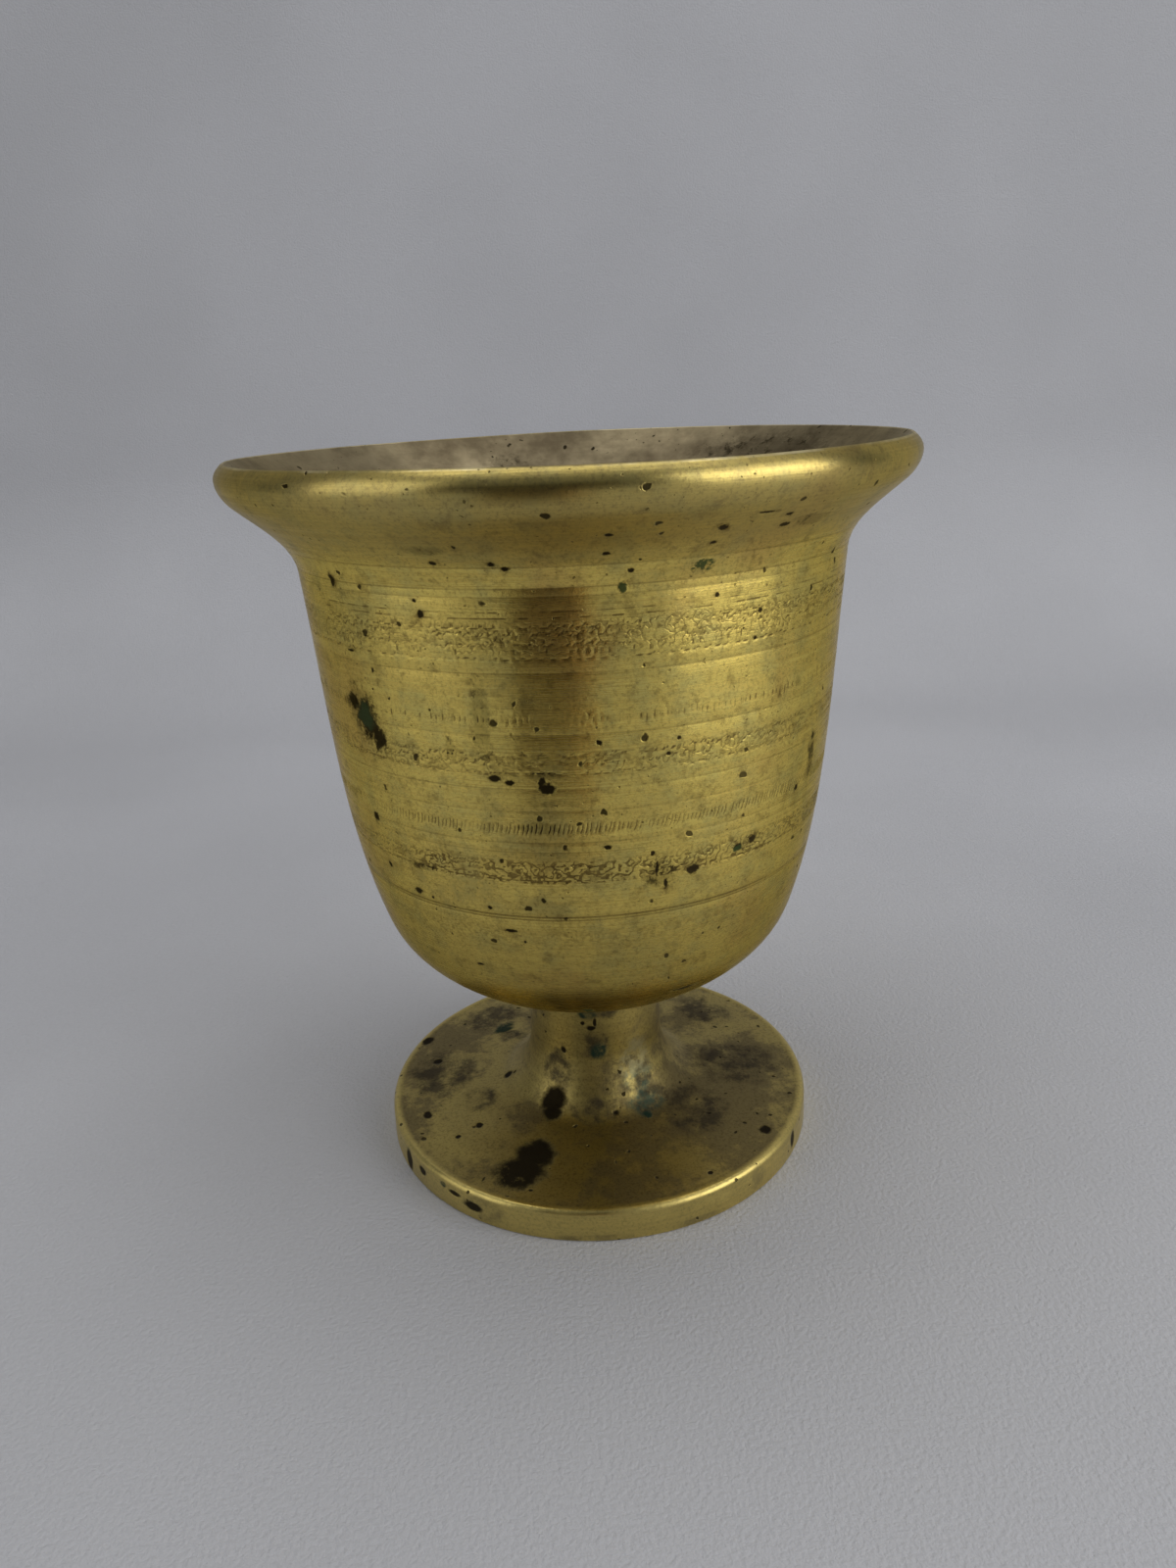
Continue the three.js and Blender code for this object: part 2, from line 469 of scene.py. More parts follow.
class EngravingTree:
    """Geometry Nodes that cut one row of marks into the outer side of a turned wall."""

    INPUTS = (
        ("Height", FLOAT), ("Ring Radius", FLOAT), ("Mark Length", FLOAT), ("Slant", FLOAT),
        ("Bend", FLOAT), ("Waves", FLOAT), ("Tilt Spread", FLOAT), ("Worn Share", FLOAT),
        ("Depth", FLOAT), ("Width", FLOAT), ("Wander", FLOAT),
    )

    def __init__(self) -> None:
        """Builds the tree."""
        self.group = Group("engraved_row", "GeometryNodeTree")
        self.group.take("Geometry", "NodeSocketGeometry")
        self.group.take("Count", "NodeSocketInt", 100)
        self.group.take("Seed", "NodeSocketInt", 1)
        for name, kind in self.INPUTS:
            self.group.take(name, kind, 0.0)
        self.group.take("Material", "NodeSocketMaterial")
        marks = self._marks()
        self._cut(marks)

    def _random(self, low: float, high: float, salt: int) -> Socket:
        """Draws a random number for each mark, the same each time for one seed.

        Args:
            low: Smallest number.
            high: Largest number.
            salt: Tells this draw from the others.

        Returns:
            The number.
        """
        net = self.group.net
        seed = net.plus(self.group.get("Seed"), float(salt))
        node = net.add("FunctionNodeRandomValue", {2: low, 3: high, 8: seed}, data_type="FLOAT")
        return node.outputs[1]

    def _marks(self) -> Socket:
        """Lays the row's marks on a cylinder of the ring's radius.

        Returns:
            The marks, as loose edges.
        """
        net, get = self.group.net, self.group.get
        length = get("Mark Length")
        half = net.times(length, -0.5)
        step = net.over(length, 8.0)
        start = net.add("ShaderNodeCombineXYZ", {2: half}).outputs[0]
        offset = net.add("ShaderNodeCombineXYZ", {2: step}).outputs[0]
        line = net.add("GeometryNodeMeshLine", {"Count": 9, "Start Location": start, "Offset": offset})
        place = net.add("GeometryNodeInputPosition").outputs[0]
        along = net.add("ShaderNodeSeparateXYZ", {0: place}).outputs[2]
        share = net.plus(net.over(along, length), 0.5)
        turn = net.times(net.times(share, get("Waves")), math.pi)
        aside = net.times(net.math("SINE", turn), get("Bend"))
        shift = net.add("ShaderNodeCombineXYZ", {0: aside}).outputs[0]
        mark = net.add("GeometryNodeSetPosition", {"Geometry": line.outputs[0], "Offset": shift})

        index = net.add("GeometryNodeInputIndex").outputs[0]
        loose = net.plus(index, self._random(-0.18, 0.18, 0))
        azimuth = net.times(net.over(loose, get("Count")), 2 * math.pi)
        radius = get("Ring Radius")
        across = net.times(net.math("SINE", azimuth), radius)
        ahead = net.times(net.math("COSINE", azimuth), net.times(radius, -1.0))
        wander = net.times(self._random(-1.0, 1.0, 1), get("Wander"))
        height = net.plus(get("Height"), wander)
        spot = net.add("ShaderNodeCombineXYZ", {0: across, 1: ahead, 2: height}).outputs[0]
        points = net.add("GeometryNodePoints", {"Count": get("Count"), "Position": spot})
        tilt = net.times(self._random(-1.0, 1.0, 2), get("Tilt Spread"))
        lean = net.plus(get("Slant"), tilt)
        turned = net.add("ShaderNodeCombineXYZ", {1: lean, 2: azimuth}).outputs[0]
        kept = net.add(
            "FunctionNodeCompare",
            {0: self._random(0.0, 1.0, 3), 1: get("Worn Share")},
            data_type="FLOAT",
            operation="GREATER_THAN",
        )
        placed = net.add(
            "GeometryNodeInstanceOnPoints",
            {
                "Points": points.outputs[0],
                "Selection": kept.outputs[0],
                "Instance": mark.outputs[0],
                "Rotation": turned,
                "Scale": self._random(0.82, 1.12, 4),
            },
        )
        return net.add("GeometryNodeRealizeInstances", {0: placed.outputs[0]}).outputs[0]

    def _cut(self, marks: Socket) -> None:
        """Presses the wall in along the marks and keeps how deep it went as an attribute.

        Args:
            marks: The marks, as loose edges.
        """
        net, get = self.group.net, self.group.get
        place = net.add("GeometryNodeInputPosition").outputs[0]
        parts = net.add("ShaderNodeSeparateXYZ", {0: place})
        level = net.add("ShaderNodeCombineXYZ", {0: parts.outputs[0], 1: parts.outputs[1]}).outputs[0]
        outward = net.vector("NORMALIZE", level)
        ring = net.add(
            "ShaderNodeVectorMath", {0: outward, 3: get("Ring Radius")}, operation="SCALE"
        ).outputs[0]
        raised = net.add("ShaderNodeCombineXYZ", {2: parts.outputs[2]}).outputs[0]
        probe = net.vector("ADD", ring, raised)
        near = net.add(
            "GeometryNodeProximity", {"Source Position": probe}, target_element="EDGES"
        )
        self.group.tree.links.new(marks, near.inputs[0])
        distance = near.outputs["Distance"]
        groove = net.minus(1.0, net.over(distance, get("Width")), clamp=True)
        groove = net.ramp(groove, 0.0, 1.0)
        rubbed = net.add("ShaderNodeTexNoise", {"Vector": place, "Scale": 130.0, "Detail": 1.0})
        kept = net.ramp(rubbed.outputs[0], 0.3, 0.5, 0.6, 1.0)
        side = net.add("GeometryNodeInputNamedAttribute", {"Name": "outer_side"}, data_type="FLOAT")
        groove = net.times(net.times(groove, kept), side.outputs[0], clamp=True)
        pressed = net.times(net.times(groove, get("Depth")), -1.0)
        offset = net.add("ShaderNodeVectorMath", {0: outward, 3: pressed}, operation="SCALE").outputs[0]
        earlier = net.add("GeometryNodeInputNamedAttribute", {"Name": "cut"}, data_type="FLOAT")
        deepest = net.most(earlier.outputs[0], groove)
        stored = net.add(
            "GeometryNodeStoreNamedAttribute",
            {"Geometry": get("Geometry"), "Name": "cut", "Value": deepest},
            data_type="FLOAT",
            domain="POINT",
        )
        moved = net.add("GeometryNodeSetPosition", {"Geometry": stored.outputs[0], "Offset": offset})
        whole = net.add("GeometryNodeRealizeInstances", {0: moved.outputs[0]})
        dressed = net.add(
            "GeometryNodeSetMaterial", {"Geometry": whole.outputs[0], "Material": get("Material")}
        )
        self.group.give("Geometry", "NodeSocketGeometry", dressed.outputs[0])

    def apply(
        self,
        piece: bpy.types.Object,
        rows: list[MarkRow],
        radius_at: Callable[[float], float],
        material: bpy.types.Material,
    ) -> None:
        """Cuts rows of marks into a piece and leaves a plain mesh.

        Args:
            piece: The turned piece.
            rows: The rows to cut, in order.
            radius_at: Function that returns the wall's outer radius at a height, in millimetres.
            material: The finish to set on the result.
        """
        names = {
            item.name: item.identifier
            for item in self.group.tree.interface.items_tree
            if item.item_type == "SOCKET" and item.in_out == "INPUT"
        }
        for row in rows:
            modifier = piece.modifiers.new(row.name, "NODES")
            modifier.node_group = self.group.tree
            values = {
                "Count": row.count,
                "Seed": row.seed,
                "Height": row.height * MM,
                "Ring Radius": radius_at(row.height) * MM,
                "Mark Length": row.length * MM,
                "Slant": math.radians(row.slant),
                "Bend": row.bend * MM,
                "Waves": row.waves,
                "Tilt Spread": math.radians(row.tilt),
                "Worn Share": row.worn,
                "Depth": row.depth * MM,
                "Width": row.width * MM,
                "Wander": row.wander * MM,
                "Material": material,
            }
            for name, value in values.items():
                modifier[names[name]] = value
        graph = bpy.context.evaluated_depsgraph_get()
        mesh = bpy.data.meshes.new_from_object(piece.evaluated_get(graph))
        piece.modifiers.clear()
        rough = piece.data
        piece.data = mesh
        mesh.name = piece.name
        bpy.data.meshes.remove(rough)


# ---- Shared surface effects ---------------------------------------------------------------------


def places(mesh: bpy.types.Mesh) -> np.ndarray:
    """Reads where a mesh's vertices are.

    Args:
        mesh: The mesh.

    Returns:
        The places in millimetres, one row each.
    """
    flat = np.zeros(len(mesh.vertices) * 3, np.float32)
    mesh.vertices.foreach_get("co", flat)
    return flat.reshape(-1, 3).astype(float) / MM


@dataclass(frozen=True)
class Blemish:
    """A stain or pit at an azimuth (degrees), radius and height, with its half sizes in mm."""

    azimuth: float
    radius: float
    height: float
    half_width: float
    half_height: float
    half_depth: float = 1.4
    turn: float = 0.0

    def centre(self) -> np.ndarray:
        """Returns the centre in millimetres."""
        angle = math.radians(self.azimuth)
        return np.array([self.radius * math.sin(angle), -self.radius * math.cos(angle), self.height])

    def local(self, points: np.ndarray) -> np.ndarray:
        """Moves points into the stain's own frame, where its edge lies one unit out.

        Args:
            points: Points in millimetres, one row each.

        Returns:
            The points in that frame.
        """
        angle = math.radians(self.azimuth + self.turn)
        across = np.array([math.cos(angle), math.sin(angle), 0.0])
        inward = np.array([-math.sin(angle), math.cos(angle), 0.0])
        offset = points - self.centre()
        return np.column_stack([
            offset @ across / self.half_width,
            offset @ inward / self.half_depth,
            offset[:, 2] / self.half_height,
        ])

    def smallest(self) -> float:
        """Returns the smallest half size."""
        return min(self.half_width, self.half_height, self.half_depth)

    def largest(self) -> float:
        """Returns the largest half size."""
        return max(self.half_width, self.half_height, self.half_depth)


def blemishes(*rows: tuple[float, ...]) -> tuple[Blemish, ...]:
    """Returns one stain for each row: azimuth, radius, height, then half sizes and turn."""
    return tuple(Blemish(*row) for row in rows)


@dataclass(frozen=True)
class StainMap:
    """Placed stains, kept on a mesh as each vertex's place inside the nearest stain.

    Stains that come close to each other go in different layers, so that a face never lies
    between two of them.
    """

    name: str
    stains: tuple[Blemish, ...]
    margin: float = 2.9

    def layers(self) -> list[list[Blemish]]:
        """Sorts the stains into layers.

        Returns:
            The layers, each with stains that are clear of each other.
        """
        found: list[list[Blemish]] = []
        for stain in self.stains:
            for layer in found:
                if all(self._clear(stain, other) for other in layer):
                    layer.append(stain)
                    break
            else:
                found.append([stain])
        return found

    def _clear(self, one: Blemish, other: Blemish) -> bool:
        """Tells whether two stains may share a layer."""
        gap = float(np.linalg.norm(one.centre() - other.centre()))
        return gap > 1.2 * (one.largest() + other.largest()) + 2 * self.margin + 1.0

    def names(self) -> list[str]:
        """Returns the name of each layer's attribute."""
        return [f"{self.name}_{i}" for i in range(len(self.layers()))]

    def paint(self, piece: bpy.types.Object) -> None:
        """Keeps the stains on a piece's mesh, one colour attribute for each layer.

        Args:
            piece: The piece to paint.
        """
        mesh = piece.data
        points = places(mesh)
        count = len(points)
        for name, layer in zip(self.names(), self.layers()):
            kept = np.zeros((count, 4), np.float32)
            kept[:, 3] = 1.0
            for stain in layer:
                local = stain.local(points)
                out = (np.linalg.norm(local, axis=1) - 1.2) * stain.smallest()
                away = np.linalg.norm(points - stain.centre(), axis=1)
                near = (out < self.margin) & (away < 1.3 * stain.largest() + self.margin)
                kept[near, :3] = local[near]
                kept[near, 3] = 0.0
            mesh.attributes.new(name, "FLOAT_COLOR", "POINT").data.foreach_set("color", kept.ravel())


class SurfaceEffects:
    """The shader node groups that the finishes share, each built once."""

    def __init__(self) -> None:
        """Builds the groups."""
        self.turning = self._turning()
        self.speckle = self._speckle()
        self.patina = self._patina()
        self.stain = self._stain()
        self.scribble = self._scribble()

    @staticmethod
    def _scribble() -> bpy.types.NodeTree:
        """Thin curling cuts: the lines along which a slow noise crosses even steps.

        Returns:
            The group's tree.
        """
        group = Group("scribbled_cuts")
        net = group.net
        group.take("Vector", VECTOR)
        group.take("Fineness", FLOAT, 600.0)
        group.take("Crossings", FLOAT, 5.0)
        swirl = net.noise(group.get("Vector"), group.get("Fineness"), 1.5)
        steps = net.math("FRACT", net.times(swirl.outputs[0], group.get("Crossings")))
        away = net.math("ABSOLUTE", net.minus(steps, 0.5))
        group.give("Mask", FLOAT, net.ramp(away, 0.08, 0.24, 1.0, 0.0))
        return group.tree

    @staticmethod
    def _turning() -> bpy.types.NodeTree:
        """Fine lines left by the lathe: broken streaks that run round the piece.

        Returns:
            The group's tree.
        """
        group = Group("turning_lines")
        net = group.net
        group.take("Vector", VECTOR)
        group.take("Spacing", FLOAT, 0.5)
        group.take("Broken", FLOAT, 0.5)
        fine = net.over(900.0, group.get("Spacing"))
        stretch = net.add("ShaderNodeCombineXYZ", {0: 22.0, 1: 22.0, 2: fine}).outputs[0]
        vector = net.vector("MULTIPLY", group.get("Vector"), stretch)
        lines = net.noise(vector, 1.0, 3.0, 0.65).outputs[0]
        coarse = net.vector("MULTIPLY", group.get("Vector"), (26.0, 26.0, 1100.0))
        wide = net.noise(coarse, 1.0, 2.0, 0.5).outputs[0]
        patchy = net.noise(group.get("Vector"), 55.0, 2.0, 0.5).outputs[0]
        strength = net.ramp(patchy, 0.35, 0.7, net.minus(1.0, group.get("Broken")), 1.0)
        both = net.plus(net.times(lines, 0.7), net.times(wide, 0.3))
        height = net.times(net.minus(both, 0.5), strength)
        group.give("Height", FLOAT, height)
        group.give("Dark", FLOAT, net.ramp(both, 0.4, 0.62, 1.0, 0.0))
        return group.tree

    @staticmethod
    def _speckle() -> bpy.types.NodeTree:
        """Small dark pits scattered by chance, thicker in some places than in others.

        Returns:
            The group's tree.
        """
        group = Group("pit_specks")
        net = group.net
        group.take("Vector", VECTOR)
        group.take("Cell", FLOAT, 0.0022)
        group.take("Amount", FLOAT, 0.5)
        scale = net.over(1.0, group.get("Cell"))
        bent = net.noise(group.get("Vector"), 900.0, 1.0).outputs[1]
        nudge = net.vector("MULTIPLY", net.vector("SUBTRACT", bent, (0.5, 0.5, 0.5)), (0.0009,) * 3)
        vector = net.vector("ADD", group.get("Vector"), nudge)
        cells = net.add(
            "ShaderNodeTexVoronoi", {"Vector": vector, "Scale": scale, "Randomness": 1.0}
        )
        chance = net.add("ShaderNodeSeparateColor", {0: cells.outputs["Color"]})
        crowd = net.noise(group.get("Vector"), 60.0, 2.0).outputs[0]
        drift = net.times(net.minus(crowd, 0.5), 1.3)
        limit = net.minus(1.0, net.times(group.get("Amount"), 0.5))
        picked = net.math("GREATER_THAN", net.plus(chance.outputs[0], drift), limit)
        size = net.plus(0.07, net.times(chance.outputs[1], 0.16))
        inside = net.over(cells.outputs["Distance"], size)
        spot = net.ramp(inside, 0.65, 1.0, 1.0, 0.0)
        group.give("Mask", FLOAT, net.times(spot, picked))
        return group.tree

    @staticmethod
    def _patina() -> bpy.types.NodeTree:
        """Cloudy tarnish in broad patches with finer mottling inside them.

        Returns:
            The group's tree.
        """
        group = Group("cloudy_patina")
        net = group.net
        group.take("Vector", VECTOR)
        group.take("Patch", FLOAT, 0.02)
        group.take("Cover", FLOAT, 0.5)
        scale = net.over(1.0, group.get("Patch"))
        broad = net.noise(group.get("Vector"), scale, 3.0, 0.6)
        finer = net.noise(group.get("Vector"), net.times(scale, 7.0), 4.0, 0.65)
        mixed = net.plus(net.times(broad.outputs[0], 0.68), net.times(finer.outputs[0], 0.32))
        low = net.minus(0.72, net.times(group.get("Cover"), 0.4))
        group.give("Mask", FLOAT, net.ramp(mixed, low, net.plus(low, 0.16)))
        group.give("Mottle", FLOAT, finer.outputs[0])
        return group.tree

    @staticmethod
    def _stain() -> bpy.types.NodeTree:
        """A layer of placed stains, from the place inside the nearest one, with ragged edges.

        Returns:
            The group's tree.
        """
        group = Group("stain_layer")
        net = group.net
        group.take("Place", VECTOR)
        group.take("Away", FLOAT, 0.0)
        group.take("Wobble", VECTOR)
        reach = net.length(net.vector("ADD", group.get("Place"), group.get("Wobble")))
        here = net.math("LESS_THAN", group.get("Away"), 0.002)
        spot = net.ramp(reach, 0.62, 1.12, 1.0, 0.0)
        group.give("Mask", FLOAT, net.times(spot, here))
        around = net.ramp(reach, 0.9, 2.1, 1.0, 0.0)
        group.give("Halo", FLOAT, net.times(around, here))
        return group.tree


class Finish:
    """A material in the making: its shader, its coordinates and the shared effects."""

    def __init__(
        self,
        name: str,
        effects: SurfaceEffects,
        edge_fineness: float = 900.0,
        edge_wander: float = 2.0,
    ) -> None:
        """Starts a material with a Principled BSDF.

        Args:
            name: The material's name.
            effects: The shared effects.
            edge_fineness: How fine the ragged edges of stains are, in cycles a metre.
            edge_wander: How far those edges wander, as a share of a stain's half size.
        """
        self.edge_fineness = edge_fineness
        self.edge_wander = edge_wander
        self.material = bpy.data.materials.new(name)
        self.material.use_nodes = True
        tree = self.material.node_tree
        self.net = Net(tree)
        self.shader = tree.nodes["Principled BSDF"]
        self.effects = effects
        self.place = self.net.add("ShaderNodeTexCoord").outputs["Object"]
        self.wobble: Socket | None = None

    def use(self, tree: bpy.types.NodeTree, **inputs: Value) -> bpy.types.Node:
        """Places a shared effect with its own values."""
        return self.net.add("ShaderNodeGroup", inputs, node_tree=tree)

    def stains(self, layers: StainMap, output: str = "Mask") -> Socket:
        """Returns one mask for every stain of a map.

        Args:
            layers: The map, painted on the mesh.
            output: Which output of the stain layer to use, Mask or Halo.

        Returns:
            The mask.
        """
        net = self.net
        if self.wobble is None:
            loose = net.noise(self.place, self.edge_fineness, 5.0, 0.7).outputs[1]
            centred = net.vector("SUBTRACT", loose, (0.5, 0.5, 0.5))
            self.wobble = net.vector("MULTIPLY", centred, (self.edge_wander,) * 3)
        mask = None
        for name in layers.names():
            kept = net.add("ShaderNodeAttribute", attribute_name=name, attribute_type="GEOMETRY")
            node = self.use(
                self.effects.stain,
                Place=kept.outputs["Color"],
                Away=kept.outputs["Alpha"],
                Wobble=self.wobble,
            )
            found = node.outputs[output]
            mask = found if mask is None else net.most(mask, found)
        return mask

    def coat(self, colour: Value, *coats: tuple[Value, float, Colour]) -> Socket:
        """Lays thin coats of colour over each other.

        Args:
            colour: The colour underneath.
            coats: For each coat, where it lies, its strength and its colour.

        Returns:
            The colour of the whole.
        """
        for mask, strength, tint in coats:
            colour = self.net.blend(self.net.times(mask, strength), colour, tint)
        return colour

    def attribute(self, name: str) -> Socket:
        """Returns a number kept on the mesh."""
        node = self.net.add("ShaderNodeAttribute", attribute_name=name, attribute_type="GEOMETRY")
        return node.outputs["Fac"]

    def set(self, **values: Value) -> None:
        """Sets plain values on the shader. Underscores stand for spaces in names."""
        for key, value in values.items():
            self.shader.inputs[key.replace("_", " ")].default_value = value

    def wire(self, name: str, value: Socket) -> None:
        """Wires a value to the shader."""
        self.net.tree.links.new(value, self.shader.inputs[name])

    def bump(self, height: Socket, distance: float) -> None:
        """Wires a bump to the shader's normal.

        Args:
            height: The height, in units of the distance.
            distance: The distance in metres.
        """
        node = self.net.add("ShaderNodeBump", {"Distance": distance, "Height": height})
        self.wire("Normal", node.outputs[0])

    def brushed(self, amount: float) -> None:
        """Spreads highlights across the turning lines.

        Args:
            amount: How far, from 0 to 1.
        """
        self.set(Anisotropic=amount, Anisotropic_Rotation=QUARTER_TURN)
        tangent = self.net.add("ShaderNodeTangent", direction_type="RADIAL", axis="Z")
        self.wire("Tangent", tangent.outputs[0])


@dataclass(frozen=True)
class BowlBrass:
    """Polished and handled brass outside, dull grey-brown patina inside, with painted shade low on the
    outer wall and a painted highlight along the crest.
    """

    clean: Colour = (0.86, 0.67, 0.165)
    deep: Colour = (0.52, 0.355, 0.09)
    green: Colour = (0.54, 0.49, 0.165)
    ruddy: Colour = (0.60, 0.37, 0.11)
    dirt: Colour = (0.032, 0.023, 0.011)
    engraved: Colour = (0.115, 0.070, 0.022)
    verdigris: Colour = (0.040, 0.062, 0.018)
    # Pale colour of the crest line: a painted highlight with some wear.
    crest: Colour = (0.88, 0.78, 0.50)
    lip_wear: Colour = (0.82, 0.73, 0.44)
    inner: Colour = (0.36, 0.295, 0.175)
    inner_dark: Colour = (0.13, 0.10, 0.058)
    edge_tint: tuple[float, float, float, float] = (0.80, 0.72, 0.50, 1.0)
    lip_from: float = 0.0965
    # Heights over which the outer wall darkens towards the bottom: painted shade with some grime.
    lip_full: float = 0.1015
    low_shade_and_grime_top: float = 0.064
    low_shade_and_grime_bottom: float = 0.036
    polish: float = 0.235
    tool_marks: float = 0.3
    relief: float = 0.00012
    brushing: float = 0.75
    black_spots: tuple[Blemish, ...] = blemishes(
        (-46.5, 38.0, 77.6, 2.7, 3.1, 1.6), (-43.5, 38.0, 75.4, 1.5, 2.2),
        (-50.5, 38.1, 79.6, 1.5, 1.2), (-7, 37.5, 70.7, 1.1, 0.8), (-8, 37.6, 71.5, 0.5, 0.9),
        (-17, 37.6, 72.0, 0.9, 0.5), (-14, 37.6, 71.4, 0.7, 0.4), (22, 35.9, 57.4, 0.9, 1.0),
        (33, 36.2, 58.9, 0.8, 0.6), (37, 36.2, 59.4, 0.7, 0.6), (22, 43.9, 101.4, 0.8, 0.35),
        (22, 41.9, 99.6, 0.5, 0.25), (28, 45.7, 102.8, 1.4, 0.15), (33, 45.0, 102.2, 0.6, 0.25),
        (34, 43.3, 100.9, 0.9, 0.3), (5, 44.2, 101.6, 0.6, 0.2), (5, 41.7, 99.3, 0.6, 0.22),
        (9, 40.0, 97.0, 0.5, 0.3), (-50, 39.4, 95.5, 0.6, 1.1), (-28, 39.0, 92.3, 0.45, 0.6),
        (-29, 39.1, 93.9, 0.3, 0.3), (-23, 41.1, 98.6, 0.6, 0.3), (-13, 41.0, 98.5, 0.5, 0.3),
        (-11, 40.5, 97.8, 0.5, 0.3), (-42, 38.5, 84.6, 0.25, 0.4), (-48, 38.6, 86.6, 0.7, 0.2),
        (25, 39.1, 93.1, 0.3, 0.3), (35, 38.9, 90.3, 0.5, 0.4), (34, 38.6, 87.1, 0.25, 0.25),
        (50, 39.0, 91.6, 0.3, 0.5), (3, 37.9, 76.5, 0.4, 0.4), (18, 37.9, 76.1, 0.35, 0.3),
        (16, 37.7, 74.2, 0.35, 0.3), (4, 36.6, 62.3, 0.6, 0.35), (13, 36.4, 60.8, 0.35, 0.5),
        (14, 36.0, 58.6, 0.25, 1.2), (16, 35.6, 56.1, 0.3, 0.9), (-41, 35.2, 53.2, 0.9, 0.6),
        (-37, 35.1, 52.8, 0.25, 0.25), (-22, 35.2, 53.0, 0.35, 0.35), (-18, 34.5, 49.6, 0.9, 0.3),
        (-15, 34.1, 47.9, 0.25, 0.25), (-28, 32.6, 42.7, 0.6, 0.3), (-50, 35.7, 55.8, 0.5, 0.6),
        (-51, 36.7, 63.1, 0.7, 0.8), (51, 36.8, 64.3, 0.5, 0.6), (57, 37.5, 70.6, 0.4, 0.6),
        (26, 29.3, 36.1, 2.6, 0.5), (-41, 48.6, 107.7, 0.6, 0.3), (72, 48.0, 105.5, 0.9, 1.5),
        (130, 38.2, 82.0, 1.6, 2.2), (165, 36.8, 64.0, 1.0, 0.7), (200, 38.9, 91.0, 0.8, 0.6),
        (235, 37.6, 71.0, 1.3, 1.0), (100, 36.0, 58.0, 0.8, 0.9),
    )
    smudges: tuple[Blemish, ...] = blemishes(
        (-18.5, 38.1, 79.8, 1.3, 6.2), (-25.5, 38.0, 75.8, 0.8, 1.7),
        (128, 42.5, 104.0, 15.0, 5.0, 6.0), (-165, 42.5, 103.0, 5.0, 3.0, 3.0),
        (-118, 42.5, 104.5, 4.0, 2.0, 3.0), (-8, 37.6, 72.4, 2.0, 0.7), (-9, 37.0, 65.3, 3.2, 0.9),
        (-48, 38.0, 78.5, 3.2, 4.0), (15, 35.8, 57.4, 2.4, 2.2), (57, 37.5, 68.0, 1.4, 4.5),
        (-18.0, 38.0, 62.0, 2.4, 0.6), (-38, 36.0, 57.5, 2.6, 0.7), (40, 43.5, 101.0, 3.0, 1.2),
        (-23, 42.5, 100.2, 3.0, 0.8), (150, 37.6, 72.0, 3.5, 4.0), (215, 36.6, 62.0, 4.0, 2.0),
    )
    green_spots: tuple[Blemish, ...] = blemishes(
        (-46.8, 38.0, 78.0, 2.0, 2.1), (22, 39.9, 96.9, 1.3, 0.8), (8, 39.3, 95.2, 0.55, 0.75),
        (20, 39.9, 96.4, 0.4, 0.3), (33, 36.2, 58.7, 0.8, 0.5), (-2, 26.0, 32.9, 0.9, 1.2),
        (128, 38.2, 83.0, 0.9, 1.2),
    )

    def maps(self) -> tuple[StainMap, StainMap, StainMap]:
        """Lists the maps of stains.

        Returns:
            The maps of black, smudged and green stains.
        """
        return (
            StainMap("black_spots", self.black_spots),
            StainMap("smudges", self.smudges),
            StainMap("green_spots", self.green_spots),
        )

    def build(self, effects: SurfaceEffects) -> bpy.types.Material:
        """Builds the material.

        Args:
            effects: The shared effects.

        Returns:
            The material.
        """
        finish = Finish("aged_bowl_brass", effects)
        net, place = finish.net, finish.place
        lines = finish.use(effects.turning, Vector=place, Spacing=0.2, Broken=0.75)
        clouds = finish.use(effects.patina, Vector=place, Patch=0.03, Cover=0.45)
        specks = finish.use(effects.speckle, Vector=place, Cell=0.0026, Amount=0.6)
        dust = finish.use(effects.speckle, Vector=place, Cell=0.0009, Amount=0.55)
        curls = finish.use(effects.scribble, Vector=place, Fineness=620.0, Crossings=5.0)
        black, dull, green = (finish.stains(stain_map) for stain_map in self.maps())
        halo = finish.stains(self.maps()[0], "Halo")
        cut = finish.attribute("cut")
        outer = finish.attribute("outer_side")
        inner = net.minus(1.0, outer, clamp=True)
        height_up = net.add("ShaderNodeSeparateXYZ", {0: place}).outputs[2]
        lip = net.times(net.ramp(height_up, self.lip_from, self.lip_full), outer)
        # Painted shade with some grime: the outer wall grows darker towards the bottom.
        low_down = net.times(net.ramp(height_up, self.low_shade_and_grime_top, self.low_shade_and_grime_bottom), outer)
        rusty = net.ramp(net.noise(place, 48.0, 3.0, 0.6).outputs[0], 0.5, 0.68)
        grain = net.noise(place, 2300.0, 3.0, 0.75).outputs[0]
        handled = net.ramp(net.noise(place, 420.0, 5.0, 0.72).outputs[0], 0.5, 0.7)
        colour = finish.coat(
            self.clean,
            (clouds.outputs["Mask"], 0.7, self.deep),
            (net.ramp(clouds.outputs["Mottle"], 0.42, 0.7), 0.6, self.green),
            (rusty, 0.45, self.ruddy),
            (lines.outputs["Dark"], 0.32, self.deep),
            (net.ramp(grain, 0.46, 0.7), 0.42, self.engraved),
            (handled, 0.42, self.engraved),
            (low_down, 0.34, self.engraved),
            (lip, 0.38, self.engraved),
            (lip, 0.1, self.lip_wear),
        )

        murk = net.noise(place, 75.0, 5.0, 0.65).outputs[0]
        cave = net.blend(net.ramp(murk, 0.3, 0.68), self.inner, self.inner_dark)
        colour = net.blend(inner, colour, cave)
        # Painted highlight with some wear: a pale line along the lip's crest, broken up by noise.
        ridge = net.minus(0.5, net.math("ABSOLUTE", net.minus(outer, 0.5)))
        worn = net.ramp(murk, 0.4, 0.6, 0.6, 0.05)
        colour = net.blend(net.times(net.ramp(ridge, 0.05, 0.22), worn), colour, self.crest)

